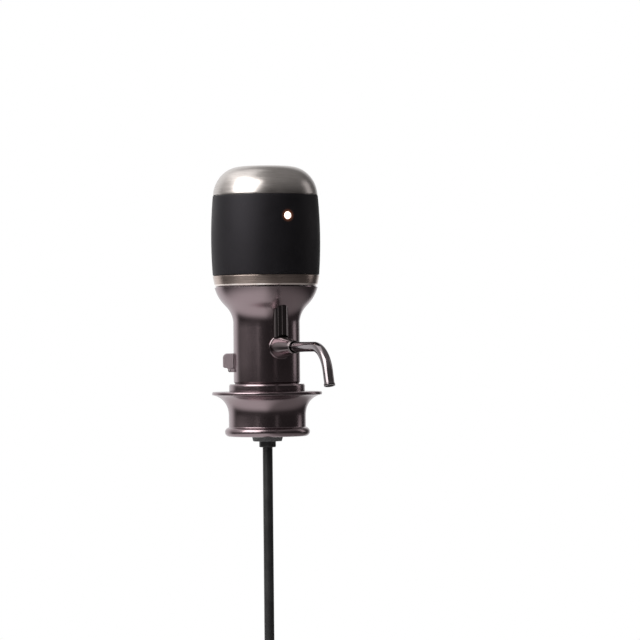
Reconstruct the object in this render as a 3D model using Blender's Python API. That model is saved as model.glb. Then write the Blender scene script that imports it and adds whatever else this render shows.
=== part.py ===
# Electric wine aerator: a cordless pump head that stands on a neck and pours through a side spout.
#
# The origin is the centre of the neck's lip plane, +Z points up and the spout points to -Y.
# A diaphragm air pump pushes wine up the dip tube and through the flow block to the spout.

import math

import bmesh
import bpy
from mathutils import Matrix, Vector

MM = 0.001

# Clearances and overruns
GAP = 0.3 * MM
OVERRUN = 3 * MM
WELD = 0.001 * MM
EDGE = 0.4 * MM
SHARP_ANGLE = math.radians(35)
FACET_ROLL = math.radians(7.5)

# Facet counts
SKIN_STEPS = 36
CORE_STEPS = 24
SMALL_STEPS = 12
TINY_STEPS = 8

# Neck that the base fits over: the seal's seat and the room round it
SEAT_T = 1.6 * MM
SEAT_R = 16.5 * MM
SKIRT_BORE_R = 17.3 * MM
STOPPER_R = 8.4 * MM
STOPPER_LIP_R = 9.8 * MM
STOPPER_DEPTH = 22 * MM
STOPPER_LIPS = 3
STOPPER_LIP_DROP = 3.6 * MM
STOPPER_LIP_PITCH = 6 * MM
STOPPER_LIP_RISE = 1 * MM
STOPPER_LIP_T = 0.8 * MM
STOPPER_NOSE_TAPER = 1.2 * MM

# Dip tube and its socket
DIP_TUBE_R = 2.5 * MM
DIP_TUBE_BORE_R = 1.7 * MM
DIP_TUBE_REACH = 250 * MM
DIP_TUBE_INSERT = 8.5 * MM
SOCKET_WALL = 1.4 * MM
SOCKET_DEPTH = 25 * MM
SOCKET_RISE = 9.7 * MM

# Base collar: the spool that goes over the neck
COLLAR_WALL = 2.1 * MM
COLLAR_DEPTH = 19.5 * MM
FLANGE_R = 27.7 * MM
FLANGE_TOP_Z = 2.85 * MM
FLANGE_T = 1.95 * MM
FLANGE_STEP = 0.9 * MM
FLARE_DEPTH = 10 * MM
FLARE_HANDLE_SHARES = ((0.5, 0.985), (0.0, 0.65))
BEAD_R = 2 * MM
ROOF_T = 2.5 * MM
SPIGOT_H = 5.6 * MM

# Column and bell: the lower housing
COLUMN_R = 16.75 * MM
COLUMN_WALL = 2.15 * MM
COLUMN_FIT = 0.4 * MM
BELL_FOOT_Z = 38.2 * MM
BELL_TOP_Z = 55.65 * MM
BELL_STEP = 1.5 * MM
BELL_WALL = 1.8 * MM
BELL_HANDLE_SHARES = ((0.69, 0.42), (0.12, 0.51))
NUT_WALL = 2.05 * MM
NUT_H = 3.65 * MM

# Band, sleeve and dome: the skins of the upper body
BAND_H = 5.4 * MM
BAND_STEP = 0.6 * MM
BAND_UPSTAND_H = 3 * MM
SLEEVE_WALL = 2.3 * MM
SLEEVE_SINK = 1.85 * MM
SLEEVE_BULGE_SHARE = 0.44875
SLEEVE_ARC_R = 240 * MM
BARREL_POINTS = 7
SLEEVE_REBATE = 0.55 * MM
SLEEVE_REBATE_H = 4.4 * MM
DOME_H = 14.35 * MM
DOME_STEP = 1.15 * MM
DOME_WALL = 1.4 * MM
DOME_CROWN = 1.9 * MM
DOME_HANDLE_SHARES = ((0.975, 0.45), (0.63, 0.95))

# Push button in the dome and its travel
BUTTON_R = 12.7 * MM
BUTTON_T = 2 * MM
BUTTON_DISH = 0.9 * MM
BUTTON_DISH_SHARES = (0.3, 0.6, 0.85)
BUTTON_WALL = 1.2 * MM
BUTTON_PRESS = 1.5 * MM
BUTTON_LIP = 1.5 * MM
BUTTON_LIP_T = 0.8 * MM
COLLAR_LIP = 1.4 * MM
DOME_COLLAR_H = 3.3 * MM
STEM_R = 2.5 * MM
GUIDE_T = 1.7 * MM
GUIDE_INSET = 5.05 * MM
GUIDE_MARGIN = 0.5 * MM
SPRING_R = 5 * MM
SPRING_WIRE_R = 0.25 * MM
SPRING_TURNS = 3

# Indicator light in the front of the sleeve
LED_DROP = 10.9 * MM
LED_R = 1.5 * MM
LENS_R = 1.85 * MM
LENS_CROWN = 0.15 * MM
LENS_FACE_SHARE = 0.6
LED_TIP_SHARE = 0.7
LED_BOARD_W = 7 * MM
LED_BOARD_T = 1.2 * MM
LED_BOARD_SINK = 4 * MM

# Battery pack: six AAA cells round the motor
CELLS = 6
CELL_R = 5.25 * MM
CELL_H = 44.5 * MM
CELL_NUB_R = 1.9 * MM
CELL_NUB_H = 0.8 * MM
CELL_MARGIN = 1.35 * MM
CONTACT_T = 0.4 * MM
CONTACT_R = 3.8 * MM
CONTACT_SPRING_H = 1.2 * MM
CONTACT_SPRING_R = 2 * MM
CONTACT_SPRING_TIP_R = 1.2 * MM
HOLDER_SINK = 2.75 * MM
HOLDER_FLOOR_STEP = 1.3 * MM
HOLDER_FLOOR_T = 1.5 * MM
HOLDER_FLOOR_BORE_R = 3.5 * MM
HOLDER_TOP_CLEARANCE = 1.3 * MM
HOLDER_TOP_T = 1.4 * MM
CORE_WALL = 1.4 * MM
FIN_T = 3 * MM
FIN_L = 4 * MM
SCREWS = 3
HOLDER_SCREW_MARGIN = 3.8 * MM
HOLDER_SCREW_R = 0.9 * MM
HOLDER_SCREW_L = 4.9 * MM
SCREW_HEAD_R = 1.9 * MM
SCREW_HEAD_H = 1.2 * MM
BOSS_R = 2.3 * MM
BOSS_FOOT_SHARE = 0.65

# Circuit board and power switch at the top of the core
BOARD_SINK = 4.9 * MM
BOARD_T = 1.2 * MM
SWITCH_W = 6.2 * MM
SWITCH_H = 5 * MM
PLUNGER_R = 1.6 * MM
PLUNGER_OUT = 2.1 * MM
PLUNGER_IN = 2.3 * MM
LEAD_R = 0.5 * MM
LEAD_SPREAD = 4 * MM
LEAD_SLACK = 1.5 * MM
LEAD_POINTS = 9

# Motor
MOTOR_R = 10.3 * MM
MOTOR_WALL = 1.1 * MM
MOTOR_H = 25.8 * MM
MOTOR_FLOOR_T = 1.5 * MM
MOTOR_CAP_T = 2 * MM
SHAFT_R = 1 * MM
ROTOR_R = 7.6 * MM
ROTOR_H = 18 * MM
ROTOR_SINK = 5.3 * MM
MAGNET_T = 0.9 * MM

# Diaphragm pump
PUMP_CLEARANCE = 1.6 * MM
PUMP_WALL = 3.1 * MM
PUMP_H = 10.3 * MM
VALVE_PLATE_T = 1.5 * MM
VALVE_R = 1 * MM
PUMP_HEAD_T = 2.6 * MM
NIPPLE_R = 1.8 * MM
NIPPLE_BORE_R = 1 * MM
NIPPLE_H = 3 * MM
NIPPLE_OFFSET = 5 * MM
DIAPHRAGM_T = 0.8 * MM
CUP_SHARE = 0.35
CUP_RING_SHARE = 0.63
CUP_H = 1.8 * MM
WOBBLE_CLEARANCE = 1.3 * MM
WOBBLE_T = 1.1 * MM
WOBBLE_HUB_R = 3.6 * MM
WOBBLE_BORE_R = 2.7 * MM
WOBBLE_HUB_H = 2 * MM
ECCENTRIC_R = 5.5 * MM
ECCENTRIC_T = 3 * MM
ECCENTRIC_FLOOR_T = 1.2 * MM
CRANK_OFFSET = 1.6 * MM
CRANK_R = 0.8 * MM
CRANK_H = 1.9 * MM
PUMP_SCREW_R = 0.8 * MM
PUMP_SCREW_L = 12 * MM
PUMP_SCREW_HEAD_R = 1.5 * MM

# Flow block, nozzle and check valve in the column
BLOCK_H = 19.7 * MM
FLOW_BORE_R = 2.3 * MM
FLOW_CORNER_SHARE = 0.3
NOZZLE_L = 7 * MM
NOZZLE_BORE_R = 0.9 * MM
VALVE_H = 4 * MM
VALVE_BORE_R = 0.8 * MM

# Spout hub, ring and tube on the front of the column
HUB_Z = 25.3 * MM
BEZEL_R = 6.1 * MM
BEZEL_T = 0.95 * MM
HUB_BASE_R = 5.55 * MM
HUB_MOUTH_R = 3.3 * MM
HUB_L = 15.4 * MM
HUB_FOOT = 0.6 * MM
HUB_STUB_R = 3.7 * MM
RING_T = 1.1 * MM
TUBE_R = 2.5 * MM
TUBE_BORE_R = 1.8 * MM
TUBE_INSERT = 17.7 * MM
TUBE_STRAIGHT = 24.25 * MM
TUBE_BEND_R = 16 * MM
TUBE_BEND = math.radians(75)
TUBE_BEND_POINTS = 9
SPOUT_STEPS = 14
TUBE_TIP_L = 7.4 * MM
TUBE_LIP_R = 2.75 * MM
TUBE_LIP_L = 1.4 * MM
O_RING_WIRE_R = 0.28 * MM
O_RING_GROOVE = 0.7 * MM
O_RING_GROOVE_W = 1.4 * MM
O_RING_SINK = 4.5 * MM

# Air duct from the pump to the hub
DUCT_R = 4 * MM
DUCT_CHANNEL_R = 1.6 * MM
DUCT_TOP_Z = 49 * MM
DUCT_PORT_R = 1.1 * MM
DUCT_PORT_RISE = 7.9 * MM
DUCT_CHANNEL_H = 10 * MM
HOSE_R = 1.4 * MM
HOSE_DROP = 2 * MM

# Vent lever on the side of the column
LEVER_TURN = math.radians(-120)
LEVER_PIVOT_OUT = 1.55 * MM
LEVER_PIVOT_Z = 13.8 * MM
LEVER_OUTER_OUT = 5.15 * MM
LEVER_INNER_OUT = 0.35 * MM
LEVER_TOP_Z = 22.4 * MM
LEVER_HEEL_Z = 15.1 * MM
LEVER_W = 7 * MM
LEVER_EYE_R = 1.2 * MM
LEVER_CORNER_R = 1.2 * MM
LEVER_PIN_R = 0.55 * MM
LUG_T = 1.2 * MM
LUG_SINK = 1.35 * MM
VENT_Z = 18.8 * MM
VENT_HOLE_R = 0.8 * MM
PAD_R = 1.6 * MM
PAD_T = 1.2 * MM

# Radii that follow from the sizes above, from the motor outwards
CORE_BORE_R = MOTOR_R + GAP
CORE_R = CORE_BORE_R + CORE_WALL
FIN_R = CORE_R + FIN_L
CELL_RING_R = CORE_R + CELL_MARGIN + CELL_R
SLEEVE_BORE_R = CELL_RING_R + CELL_R + CELL_MARGIN
SLEEVE_MAX_R = SLEEVE_BORE_R + SLEEVE_WALL
BELL_R = SLEEVE_MAX_R - BELL_STEP
BAND_TOP_R = SLEEVE_MAX_R - BAND_STEP
DOME_R = SLEEVE_MAX_R - DOME_STEP
GUIDE_R = DOME_R - GUIDE_INSET
HOLDER_TOP_R = SLEEVE_BORE_R - HOLDER_TOP_CLEARANCE
HOLDER_FLOOR_R = HOLDER_TOP_R - HOLDER_FLOOR_STEP
HOLDER_SCREW_RING_R = HOLDER_FLOOR_R - HOLDER_SCREW_MARGIN
LED_BOARD_R = SLEEVE_BORE_R - LED_BOARD_SINK
UPSTAND_R = SLEEVE_BORE_R - GAP
UPSTAND_BORE_R = HOLDER_TOP_R + GAP
BUTTON_HOLE_R = BUTTON_R + GAP

# Radii that follow from the column and the neck
COLUMN_BORE_R = COLUMN_R - COLUMN_WALL
SPIGOT_R = COLUMN_BORE_R - COLUMN_FIT
BLOCK_R = COLUMN_BORE_R - COLUMN_FIT
NUT_R = COLUMN_R + GAP + NUT_WALL
COLLAR_R = SKIRT_BORE_R + COLLAR_WALL
FLARE_START_R = FLANGE_R - FLANGE_STEP
SOCKET_R = DIP_TUBE_R + GAP + SOCKET_WALL
PUMP_R = COLUMN_BORE_R - PUMP_CLEARANCE
PUMP_BORE_R = PUMP_R - PUMP_WALL
PUMP_SCREW_RING_R = PUMP_R - PUMP_SCREW_HEAD_R
WOBBLE_R = PUMP_BORE_R - WOBBLE_CLEARANCE
CUP_R = WOBBLE_R * CUP_SHARE
CUP_RING_R = WOBBLE_R * CUP_RING_SHARE
SHAFT_BORE_R = SHAFT_R + GAP
LEVER_PIVOT_R = COLUMN_R + LEVER_PIVOT_OUT
LEVER_OUTER_R = COLUMN_R + LEVER_OUTER_OUT
LEVER_INNER_R = COLUMN_R + LEVER_INNER_OUT
LUG_ROOT_R = COLUMN_R - LUG_SINK

# Heights that follow from the sizes above
ROOF_UNDER_Z = SEAT_T + GAP
ROOF_TOP_Z = ROOF_UNDER_Z + ROOF_T
COLUMN_FOOT_Z = ROOF_TOP_Z + GAP
SPIGOT_TOP_Z = ROOF_TOP_Z + SPIGOT_H
BLOCK_Z = SPIGOT_TOP_Z + GAP
BLOCK_TOP_Z = BLOCK_Z + BLOCK_H
BAND_Z = BELL_TOP_Z + GAP
BAND_TOP_Z = BAND_Z + BAND_H

FLOOR_Z = BELL_TOP_Z - HOLDER_SINK
FLOOR_TOP_Z = FLOOR_Z + HOLDER_FLOOR_T
CONTACT_Z = FLOOR_TOP_Z + GAP
CELL_Z = CONTACT_Z + CONTACT_T + CONTACT_SPRING_H + GAP
CELL_TOP_Z = CELL_Z + CELL_H
CONTACT_TOP_Z = CELL_TOP_Z + GAP
HOLDER_TOP_Z = CONTACT_TOP_Z + CONTACT_T + GAP
HOLDER_END_Z = HOLDER_TOP_Z + HOLDER_TOP_T

SLEEVE_Z = BAND_TOP_Z + GAP
SLEEVE_TOP_Z = HOLDER_END_Z - SLEEVE_SINK
SLEEVE_H = SLEEVE_TOP_Z - SLEEVE_Z
SLEEVE_MAX_Z = SLEEVE_Z + SLEEVE_H * SLEEVE_BULGE_SHARE
LED_Z = SLEEVE_TOP_Z - LED_DROP
DOME_Z = SLEEVE_TOP_Z + GAP
DOME_TOP_Z = DOME_Z + DOME_H

BOARD_Z = HOLDER_END_Z - BOARD_SINK - BOARD_T
SWITCH_Z = BOARD_Z + BOARD_T + GAP
SWITCH_TOP_Z = SWITCH_Z + SWITCH_H
PLUNGER_TOP_Z = SWITCH_TOP_Z + PLUNGER_OUT
STEM_Z = PLUNGER_TOP_Z + GAP
BUTTON_UNDER_Z = DOME_TOP_Z - BUTTON_T
DOME_COLLAR_Z = DOME_TOP_Z - DOME_COLLAR_H
BUTTON_LIP_TOP_Z = DOME_COLLAR_Z - GAP
BUTTON_LIP_Z = BUTTON_LIP_TOP_Z - BUTTON_LIP_T
GUIDE_TOP_Z = BUTTON_LIP_Z - BUTTON_PRESS - GUIDE_MARGIN

MOTOR_Z = FLOOR_TOP_Z + GAP
MOTOR_TOP_Z = MOTOR_Z + MOTOR_H
MOTOR_CAP_Z = MOTOR_TOP_Z + GAP
MOTOR_CAP_TOP_Z = MOTOR_CAP_Z + MOTOR_CAP_T
PUMP_TOP_Z = FLOOR_Z - GAP
PUMP_Z = PUMP_TOP_Z - PUMP_H
VALVE_PLATE_Z = PUMP_Z - GAP - VALVE_PLATE_T
PUMP_HEAD_Z = VALVE_PLATE_Z - GAP - PUMP_HEAD_T
NIPPLE_Z = PUMP_HEAD_Z - NIPPLE_H
DIAPHRAGM_Z = PUMP_Z
WOBBLE_Z = DIAPHRAGM_Z + DIAPHRAGM_T + CUP_H + GAP
ECCENTRIC_Z = WOBBLE_Z + WOBBLE_T + WOBBLE_HUB_H + GAP
SHAFT_Z = ECCENTRIC_Z + ECCENTRIC_FLOOR_T + GAP
SHAFT_TOP_Z = MOTOR_CAP_TOP_Z - GAP

# Places along the spout, measured outwards from the axis
HUB_BORE_R = TUBE_R + GAP
HUB_ROOT = COLUMN_R + GAP + BEZEL_T + GAP
HUB_REACH = COLUMN_R + HUB_L
HUB_STUB_START = BLOCK_R + GAP
RING_START = HUB_REACH + GAP
TUBE_START = RING_START + RING_T - TUBE_INSERT
TUBE_STRAIGHT_END = HUB_REACH + TUBE_STRAIGHT
DUCT_PORT_Z = HUB_Z + DUCT_PORT_RISE


def material(name, colour, roughness, metallic):
    """A plain Principled finish in the colour of the real surface."""
    finish = bpy.data.materials.new(name + "_finish")
    finish.use_nodes = True
    shader = finish.node_tree.nodes["Principled BSDF"]
    shader.inputs["Base Color"].default_value = (*colour, 1)
    shader.inputs["Roughness"].default_value = roughness
    shader.inputs["Metallic"].default_value = metallic
    finish.diffuse_color = (*colour, 1)
    return finish


SILVER = ((0.62, 0.61, 0.6), 0.3, 1.0)
BLACK_RUBBER = ((0.02, 0.02, 0.022), 0.65, 0.0)
GUNMETAL = ((0.2, 0.18, 0.18), 0.35, 1.0)
DARK_CHROME = ((0.12, 0.11, 0.12), 0.12, 1.0)
GREY_PLASTIC = ((0.42, 0.42, 0.43), 0.45, 0.0)
WHITE_PLASTIC = ((0.8, 0.8, 0.78), 0.4, 0.0)
BLACK_PLASTIC = ((0.03, 0.03, 0.03), 0.5, 0.0)
SILICONE = ((0.1, 0.1, 0.11), 0.6, 0.0)
STEEL = ((0.55, 0.55, 0.56), 0.3, 1.0)
BOARD_GREEN = ((0.03, 0.2, 0.08), 0.45, 0.0)
CELL_JACKET = ((0.15, 0.18, 0.22), 0.35, 0.3)
COPPER = ((0.7, 0.35, 0.2), 0.3, 1.0)
LENS_WHITE = ((0.9, 0.9, 0.88), 0.25, 0.0)
MAGNET_GREY = ((0.1, 0.1, 0.11), 0.6, 0.2)


def link(name, bm, look=None):
    """Turn a bmesh into an object of its own, with its finish and smooth shading."""
    bmesh.ops.recalc_face_normals(bm, faces=bm.faces)
    mesh = bpy.data.meshes.new(name)
    bm.to_mesh(mesh)
    bm.free()
    mesh.shade_smooth()
    mesh.set_sharp_from_angle(angle=SHARP_ANGLE)
    obj = bpy.data.objects.new(name, mesh)
    bpy.context.scene.collection.objects.link(obj)
    if look:
        mesh.materials.append(material(name, *look))
    else:
        obj.hide_render = True
        obj.display_type = "WIRE"
    return obj


def bezier(start, lean, reach, end, count):
    """Points of a cubic curve from start to end, both ends included."""
    points = []
    for step in range(count + 1):
        t = step / count
        weights = ((1 - t) ** 3, 3 * t * (1 - t) ** 2, 3 * t * t * (1 - t), t**3)
        corners = (start, lean, reach, end)
        points.append(tuple(sum(w * c[i] for w, c in zip(weights, corners)) for i in (0, 1)))
    return points


def arc(centre, radius, start, end, count):
    """Points of a round stretch, from one angle in degrees to another."""
    points = []
    for step in range(count + 1):
        angle = math.radians(start + (end - start) * step / count)
        points.append((centre[0] + radius * math.cos(angle), centre[1] + radius * math.sin(angle)))
    return points


def add_turned(bm, outline, steps, place=Matrix()):
    """Turn an outline of (radius, height) points into a closed solid inside a bmesh."""
    ring = [bm.verts.new((radius, 0, height)) for radius, height in outline]
    on_axis = outline[0][0] == 0 and outline[-1][0] == 0
    pairs = zip(ring, ring[1:] if on_axis else ring[1:] + ring[:1])
    edges = [bm.edges.new(pair) for pair in pairs]
    before = set(bm.verts) - set(ring)
    bmesh.ops.spin(
        bm, geom=ring + edges, cent=(0, 0, 0), axis=(0, 0, 1), dvec=(0, 0, 0),
        angle=2 * math.pi, steps=steps, use_merge=True,
    )
    made = [vert for vert in bm.verts if vert not in before]
    bmesh.ops.transform(bm, matrix=place, verts=made)
    bmesh.ops.remove_doubles(bm, verts=made, dist=WELD)


def turned(name, outline, look=None, steps=CORE_STEPS, places=(Matrix(),)):
    """One object of turned solids, one at each place."""
    bm = bmesh.new()
    for place in places:
        add_turned(bm, outline, steps, place)
    return link(name, bm, look)


def tube_outline(outer, bore, low, high):
    return [(bore, low), (outer, low), (outer, high), (bore, high)]


def rod_outline(radius, low, high):
    return [(0, low), (radius, low), (radius, high), (0, high)]


def box(name, size, centre, look=None, bevel=0):
    """A block with its edges broken, centred on a point."""
    bm = bmesh.new()
    bmesh.ops.create_cube(bm, size=1)
    bmesh.ops.scale(bm, vec=size, verts=bm.verts)
    bmesh.ops.translate(bm, vec=centre, verts=bm.verts)
    if bevel:
        bmesh.ops.bevel(
            bm, geom=bm.edges[:], offset=bevel, segments=1, affect="EDGES", profile=0.5
        )
    return link(name, bm, look)


def combine(obj, other, operation):
    """Cut, join or intersect an object with a guide that isn't a piece of its own."""
    modifier = obj.modifiers.new(operation.title() + "_" + other.name, "BOOLEAN")
    modifier.operation = operation
    modifier.solver = "EXACT"
    modifier.object = other
    return obj


def round_the_axis(radius, count, start=0.0):
    """Places evenly round the Z axis at a radius, the first at a start angle from +X."""
    angles = [start + 2 * math.pi * index / count for index in range(count)]
    return [
        Matrix.Rotation(angle, 4, "Z") @ Matrix.Translation((radius, 0, 0)) for angle in angles
    ]


def outward(height, turn=0.0):
    """Place that lays a turned piece along -Y at a height, turned about Z, with no facet edge upright."""
    lay = Matrix.Rotation(math.pi / 2, 4, "X") @ Matrix.Rotation(FACET_ROLL, 4, "Z")
    return Matrix.Rotation(turn, 4, "Z") @ Matrix.Translation((0, 0, height)) @ lay


def pivot(name, matrix):
    """An empty on a joint's axis that carries the pieces of that joint."""
    empty = bpy.data.objects.new(name, None)
    bpy.context.scene.collection.objects.link(empty)
    empty.matrix_world = matrix
    return empty


def carry(empty, *pieces):
    for piece in pieces:
        piece.parent = empty


def soft_line(name, run, radius, look):
    """A round cable or hose along a smooth run of points."""
    curve = bpy.data.curves.new(name, "CURVE")
    curve.dimensions = "3D"
    curve.bevel_depth = radius
    curve.bevel_resolution = 2
    curve.use_fill_caps = True
    spline = curve.splines.new("POLY")
    spline.points.add(len(run) - 1)
    for point, place in zip(spline.points, run):
        point.co = (*place, 1)
    curve.materials.append(material(name, *look))
    obj = bpy.data.objects.new(name, curve)
    bpy.context.scene.collection.objects.link(obj)
    return obj


def sleeve_radius(height):
    """Outer radius of the barrel-shaped sleeve at a height."""
    return SLEEVE_MAX_R - (height - SLEEVE_MAX_Z) ** 2 / (2 * SLEEVE_ARC_R)


def flare(start, end, shares, count):
    """A curve from start to end whose handles are shares of the way back from the end."""
    wide, tall = start[0] - end[0], start[1] - end[1]
    (lean_r, lean_z), (reach_r, reach_z) = shares
    lean = (end[0] + wide * lean_r, end[1] + tall * lean_z)
    reach = (end[0] + wide * reach_r, end[1] + tall * reach_z)
    return bezier(start, lean, reach, end, count)


def bell_curve(top_r, column_r, top_z, foot_z, count):
    return flare((top_r, top_z), (column_r, foot_z), BELL_HANDLE_SHARES, count)


def dome_curve(seam_r, crown_r, seam_z, crown_z, count):
    """The dome's shoulder from its crown down to its seam."""
    wide, tall = seam_r - crown_r, crown_z - seam_z
    (lean_r, lean_z), (reach_r, reach_z) = DOME_HANDLE_SHARES
    lean = (crown_r + wide * lean_r, seam_z + tall * lean_z)
    reach = (crown_r + wide * reach_r, seam_z + tall * reach_z)
    return bezier((seam_r, seam_z), lean, reach, (crown_r, crown_z), count)[::-1]


def chamfered_tube(outer, bore, low, high):
    """A ring whose two outer edges are broken."""
    return [
        (bore, low), (outer - EDGE, low), (outer, low + EDGE),
        (outer, high - EDGE), (outer - EDGE, high), (bore, high),
    ]


# Upper body: dome, sleeve, lens and the button's guide
def make_top_dome():
    collar_r = BUTTON_HOLE_R + COLLAR_LIP
    spigot_r = SLEEVE_BORE_R + SLEEVE_REBATE - GAP
    bore_r = DOME_R - DOME_WALL
    spigot_z = SLEEVE_TOP_Z - SLEEVE_REBATE_H + GAP
    outline = [(BUTTON_HOLE_R, DOME_COLLAR_Z), (BUTTON_HOLE_R, DOME_TOP_Z - EDGE)]
    outline += dome_curve(DOME_R, BUTTON_HOLE_R + EDGE, DOME_Z, DOME_TOP_Z, 8)
    outline += [(spigot_r, DOME_Z), (spigot_r, spigot_z), (bore_r, spigot_z)]
    outline += dome_curve(bore_r, collar_r, DOME_Z, DOME_TOP_Z - DOME_CROWN, 4)[::-1]
    outline += [(collar_r, DOME_COLLAR_Z)]
    turned("top_dome", outline, SILVER, SKIN_STEPS)


def make_grip_sleeve():
    rebate_r = SLEEVE_BORE_R + SLEEVE_REBATE
    rebate_z = SLEEVE_TOP_Z - SLEEVE_REBATE_H
    barrel = []
    for step in range(BARREL_POINTS):
        height = SLEEVE_Z + EDGE + (SLEEVE_H - 2 * EDGE) * step / (BARREL_POINTS - 1)
        barrel.append((sleeve_radius(height), height))
    outline = [(SLEEVE_BORE_R, SLEEVE_Z), (barrel[0][0] - EDGE, SLEEVE_Z)]
    outline += barrel
    outline += [(rebate_r, SLEEVE_TOP_Z), (rebate_r, rebate_z), (SLEEVE_BORE_R, rebate_z)]
    sleeve = turned("grip_sleeve", outline, BLACK_RUBBER, SKIN_STEPS)
    hole = turned(
        "led_hole_cutter", rod_outline(LENS_R + GAP, SLEEVE_BORE_R - OVERRUN, SLEEVE_MAX_R + OVERRUN),
        steps=SMALL_STEPS, places=[outward(LED_Z)],
    )
    combine(sleeve, hole, "DIFFERENCE")


def make_led_lens():
    back = SLEEVE_BORE_R + GAP / 2
    front = sleeve_radius(LED_Z)
    outline = [
        (0, back), (LENS_R, back), (LENS_R, front - LENS_CROWN),
        (LENS_R * LENS_FACE_SHARE, front), (0, front + LENS_CROWN / 2),
    ]
    turned("led_lens", outline, LENS_WHITE, SMALL_STEPS, [outward(LED_Z)])


def make_button_guide():
    outline = tube_outline(GUIDE_R, STEM_R + GAP, GUIDE_TOP_Z - GUIDE_T, GUIDE_TOP_Z)
    turned("button_guide", outline, WHITE_PLASTIC)


def make_push_button():
    """A dished cap with a skirt, a stop lip under the dome's collar and a stem to the switch."""
    dish = [(0, DOME_TOP_Z - BUTTON_DISH)]
    for share in BUTTON_DISH_SHARES:
        dish.append((BUTTON_R * share, DOME_TOP_Z - BUTTON_DISH * (1 - share**2)))
    inner_r = BUTTON_R - BUTTON_WALL
    lip_r = BUTTON_R + BUTTON_LIP
    outline = dish + [
        (BUTTON_R - EDGE, DOME_TOP_Z), (BUTTON_R, DOME_TOP_Z - EDGE), (BUTTON_R, BUTTON_LIP_TOP_Z),
        (lip_r, BUTTON_LIP_TOP_Z), (lip_r, BUTTON_LIP_Z), (inner_r, BUTTON_LIP_Z),
        (inner_r, BUTTON_UNDER_Z), (STEM_R, BUTTON_UNDER_Z), (STEM_R, STEM_Z), (0, STEM_Z),
    ]
    button = turned("push_button", outline, SILVER, CORE_STEPS)
    axis = pivot("button_axis", Matrix.Translation((0, 0, DOME_TOP_Z)))
    carry_at(axis, button)


def carry_at(axis, *pieces):
    """Parent pieces to an empty and keep them where they stand."""
    for piece in pieces:
        piece.parent = axis
        piece.matrix_parent_inverse = axis.matrix_world.inverted()


def make_button_spring():
    """A compression spring round the stem, as one helix from the guide to the cap."""
    low = GUIDE_TOP_Z + GAP + SPRING_WIRE_R
    high = BUTTON_UNDER_Z - GAP - SPRING_WIRE_R
    per_turn = 10
    points = []
    for step in range(SPRING_TURNS * per_turn + 1):
        angle = 2 * math.pi * step / per_turn
        height = low + (high - low) * step / (SPRING_TURNS * per_turn)
        points.append((SPRING_R * math.cos(angle), SPRING_R * math.sin(angle), height))
    spring = soft_line("button_spring", points, SPRING_WIRE_R, STEEL)
    spring.data.bevel_resolution = 1
    pitch_gap = (high - low) / SPRING_TURNS - 2 * SPRING_WIRE_R
    print("button spring, least gap between turns in mm:", round(pitch_gap / MM, 2))


# Band, bell and column
def make_band_ring():
    outline = [
        (UPSTAND_BORE_R, BAND_Z), (BELL_R - EDGE, BAND_Z), (BELL_R, BAND_Z + EDGE),
        (BAND_TOP_R, BAND_TOP_Z - EDGE), (BAND_TOP_R - EDGE, BAND_TOP_Z), (UPSTAND_R, BAND_TOP_Z),
        (UPSTAND_R, BAND_TOP_Z + BAND_UPSTAND_H), (UPSTAND_BORE_R, BAND_TOP_Z + BAND_UPSTAND_H),
    ]
    turned("band_ring", outline, SILVER, SKIN_STEPS)


def screw_places(ring_r):
    """Three screws round the axis, in gaps between cells that the light's board leaves free."""
    roll = Matrix.Rotation(FACET_ROLL, 4, "Z")
    return [place @ roll for place in round_the_axis(ring_r, SCREWS, math.pi / 2)]


def bell_inside():
    """The bell's inner curve, from its top down to the column's bore."""
    return bell_curve(BELL_R - BELL_WALL, COLUMN_BORE_R, BELL_TOP_Z, BELL_FOOT_Z - BELL_WALL, 5)


def height_in_bell(radius):
    """Height at which the bell's inside is as wide as a radius, so that a boss there meets its wall."""
    curve = bell_inside()
    for (wide_r, high_z), (narrow_r, low_z) in zip(curve, curve[1:]):
        if narrow_r <= radius <= wide_r:
            return low_z + (high_z - low_z) * (radius - narrow_r) / (wide_r - narrow_r)
    return curve[-1][1]


def make_lower_housing():
    """One shell: a bell that holds the pump and a column that holds the flow block."""
    outline = [(COLUMN_BORE_R, COLUMN_FOOT_Z), (COLUMN_R, COLUMN_FOOT_Z)]
    outline += bell_curve(BELL_R, COLUMN_R, BELL_TOP_Z, BELL_FOOT_Z, 8)[::-1]
    outline += bell_inside()
    housing = turned("lower_housing", outline, GUNMETAL, SKIN_STEPS)

    boss_foot_z = height_in_bell(HOLDER_SCREW_RING_R + BOSS_R * BOSS_FOOT_SHARE)
    bosses = turned(
        "boss_guide", rod_outline(BOSS_R, boss_foot_z, FLOOR_Z - GAP),
        steps=SMALL_STEPS, places=screw_places(HOLDER_SCREW_RING_R),
    )
    pilots = turned(
        "pilot_cutter",
        rod_outline(HOLDER_SCREW_R + GAP, FLOOR_TOP_Z - HOLDER_SCREW_L - GAP, FLOOR_Z + OVERRUN),
        steps=SMALL_STEPS, places=screw_places(HOLDER_SCREW_RING_R),
    )
    hub_hole = turned(
        "hub_hole_cutter", rod_outline(HUB_STUB_R + GAP, COLUMN_BORE_R - OVERRUN, COLUMN_R + OVERRUN),
        steps=CORE_STEPS, places=[outward(HUB_Z)],
    )
    port = turned(
        "duct_port_cutter", rod_outline(DUCT_PORT_R, COLUMN_BORE_R - OVERRUN, COLUMN_R + OVERRUN),
        steps=SMALL_STEPS,
        places=[outward(DUCT_PORT_Z)],
    )
    vent = turned(
        "vent_hole_cutter", rod_outline(VENT_HOLE_R, COLUMN_BORE_R - OVERRUN, COLUMN_R + OVERRUN),
        steps=SMALL_STEPS, places=[outward(VENT_Z, LEVER_TURN)],
    )
    lugs, pin_holes = lever_lugs()
    combine(housing, bosses, "UNION")
    combine(housing, lugs, "UNION")
    for cutter in (pilots, hub_hole, port, vent, pin_holes):
        combine(housing, cutter, "DIFFERENCE")


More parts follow.
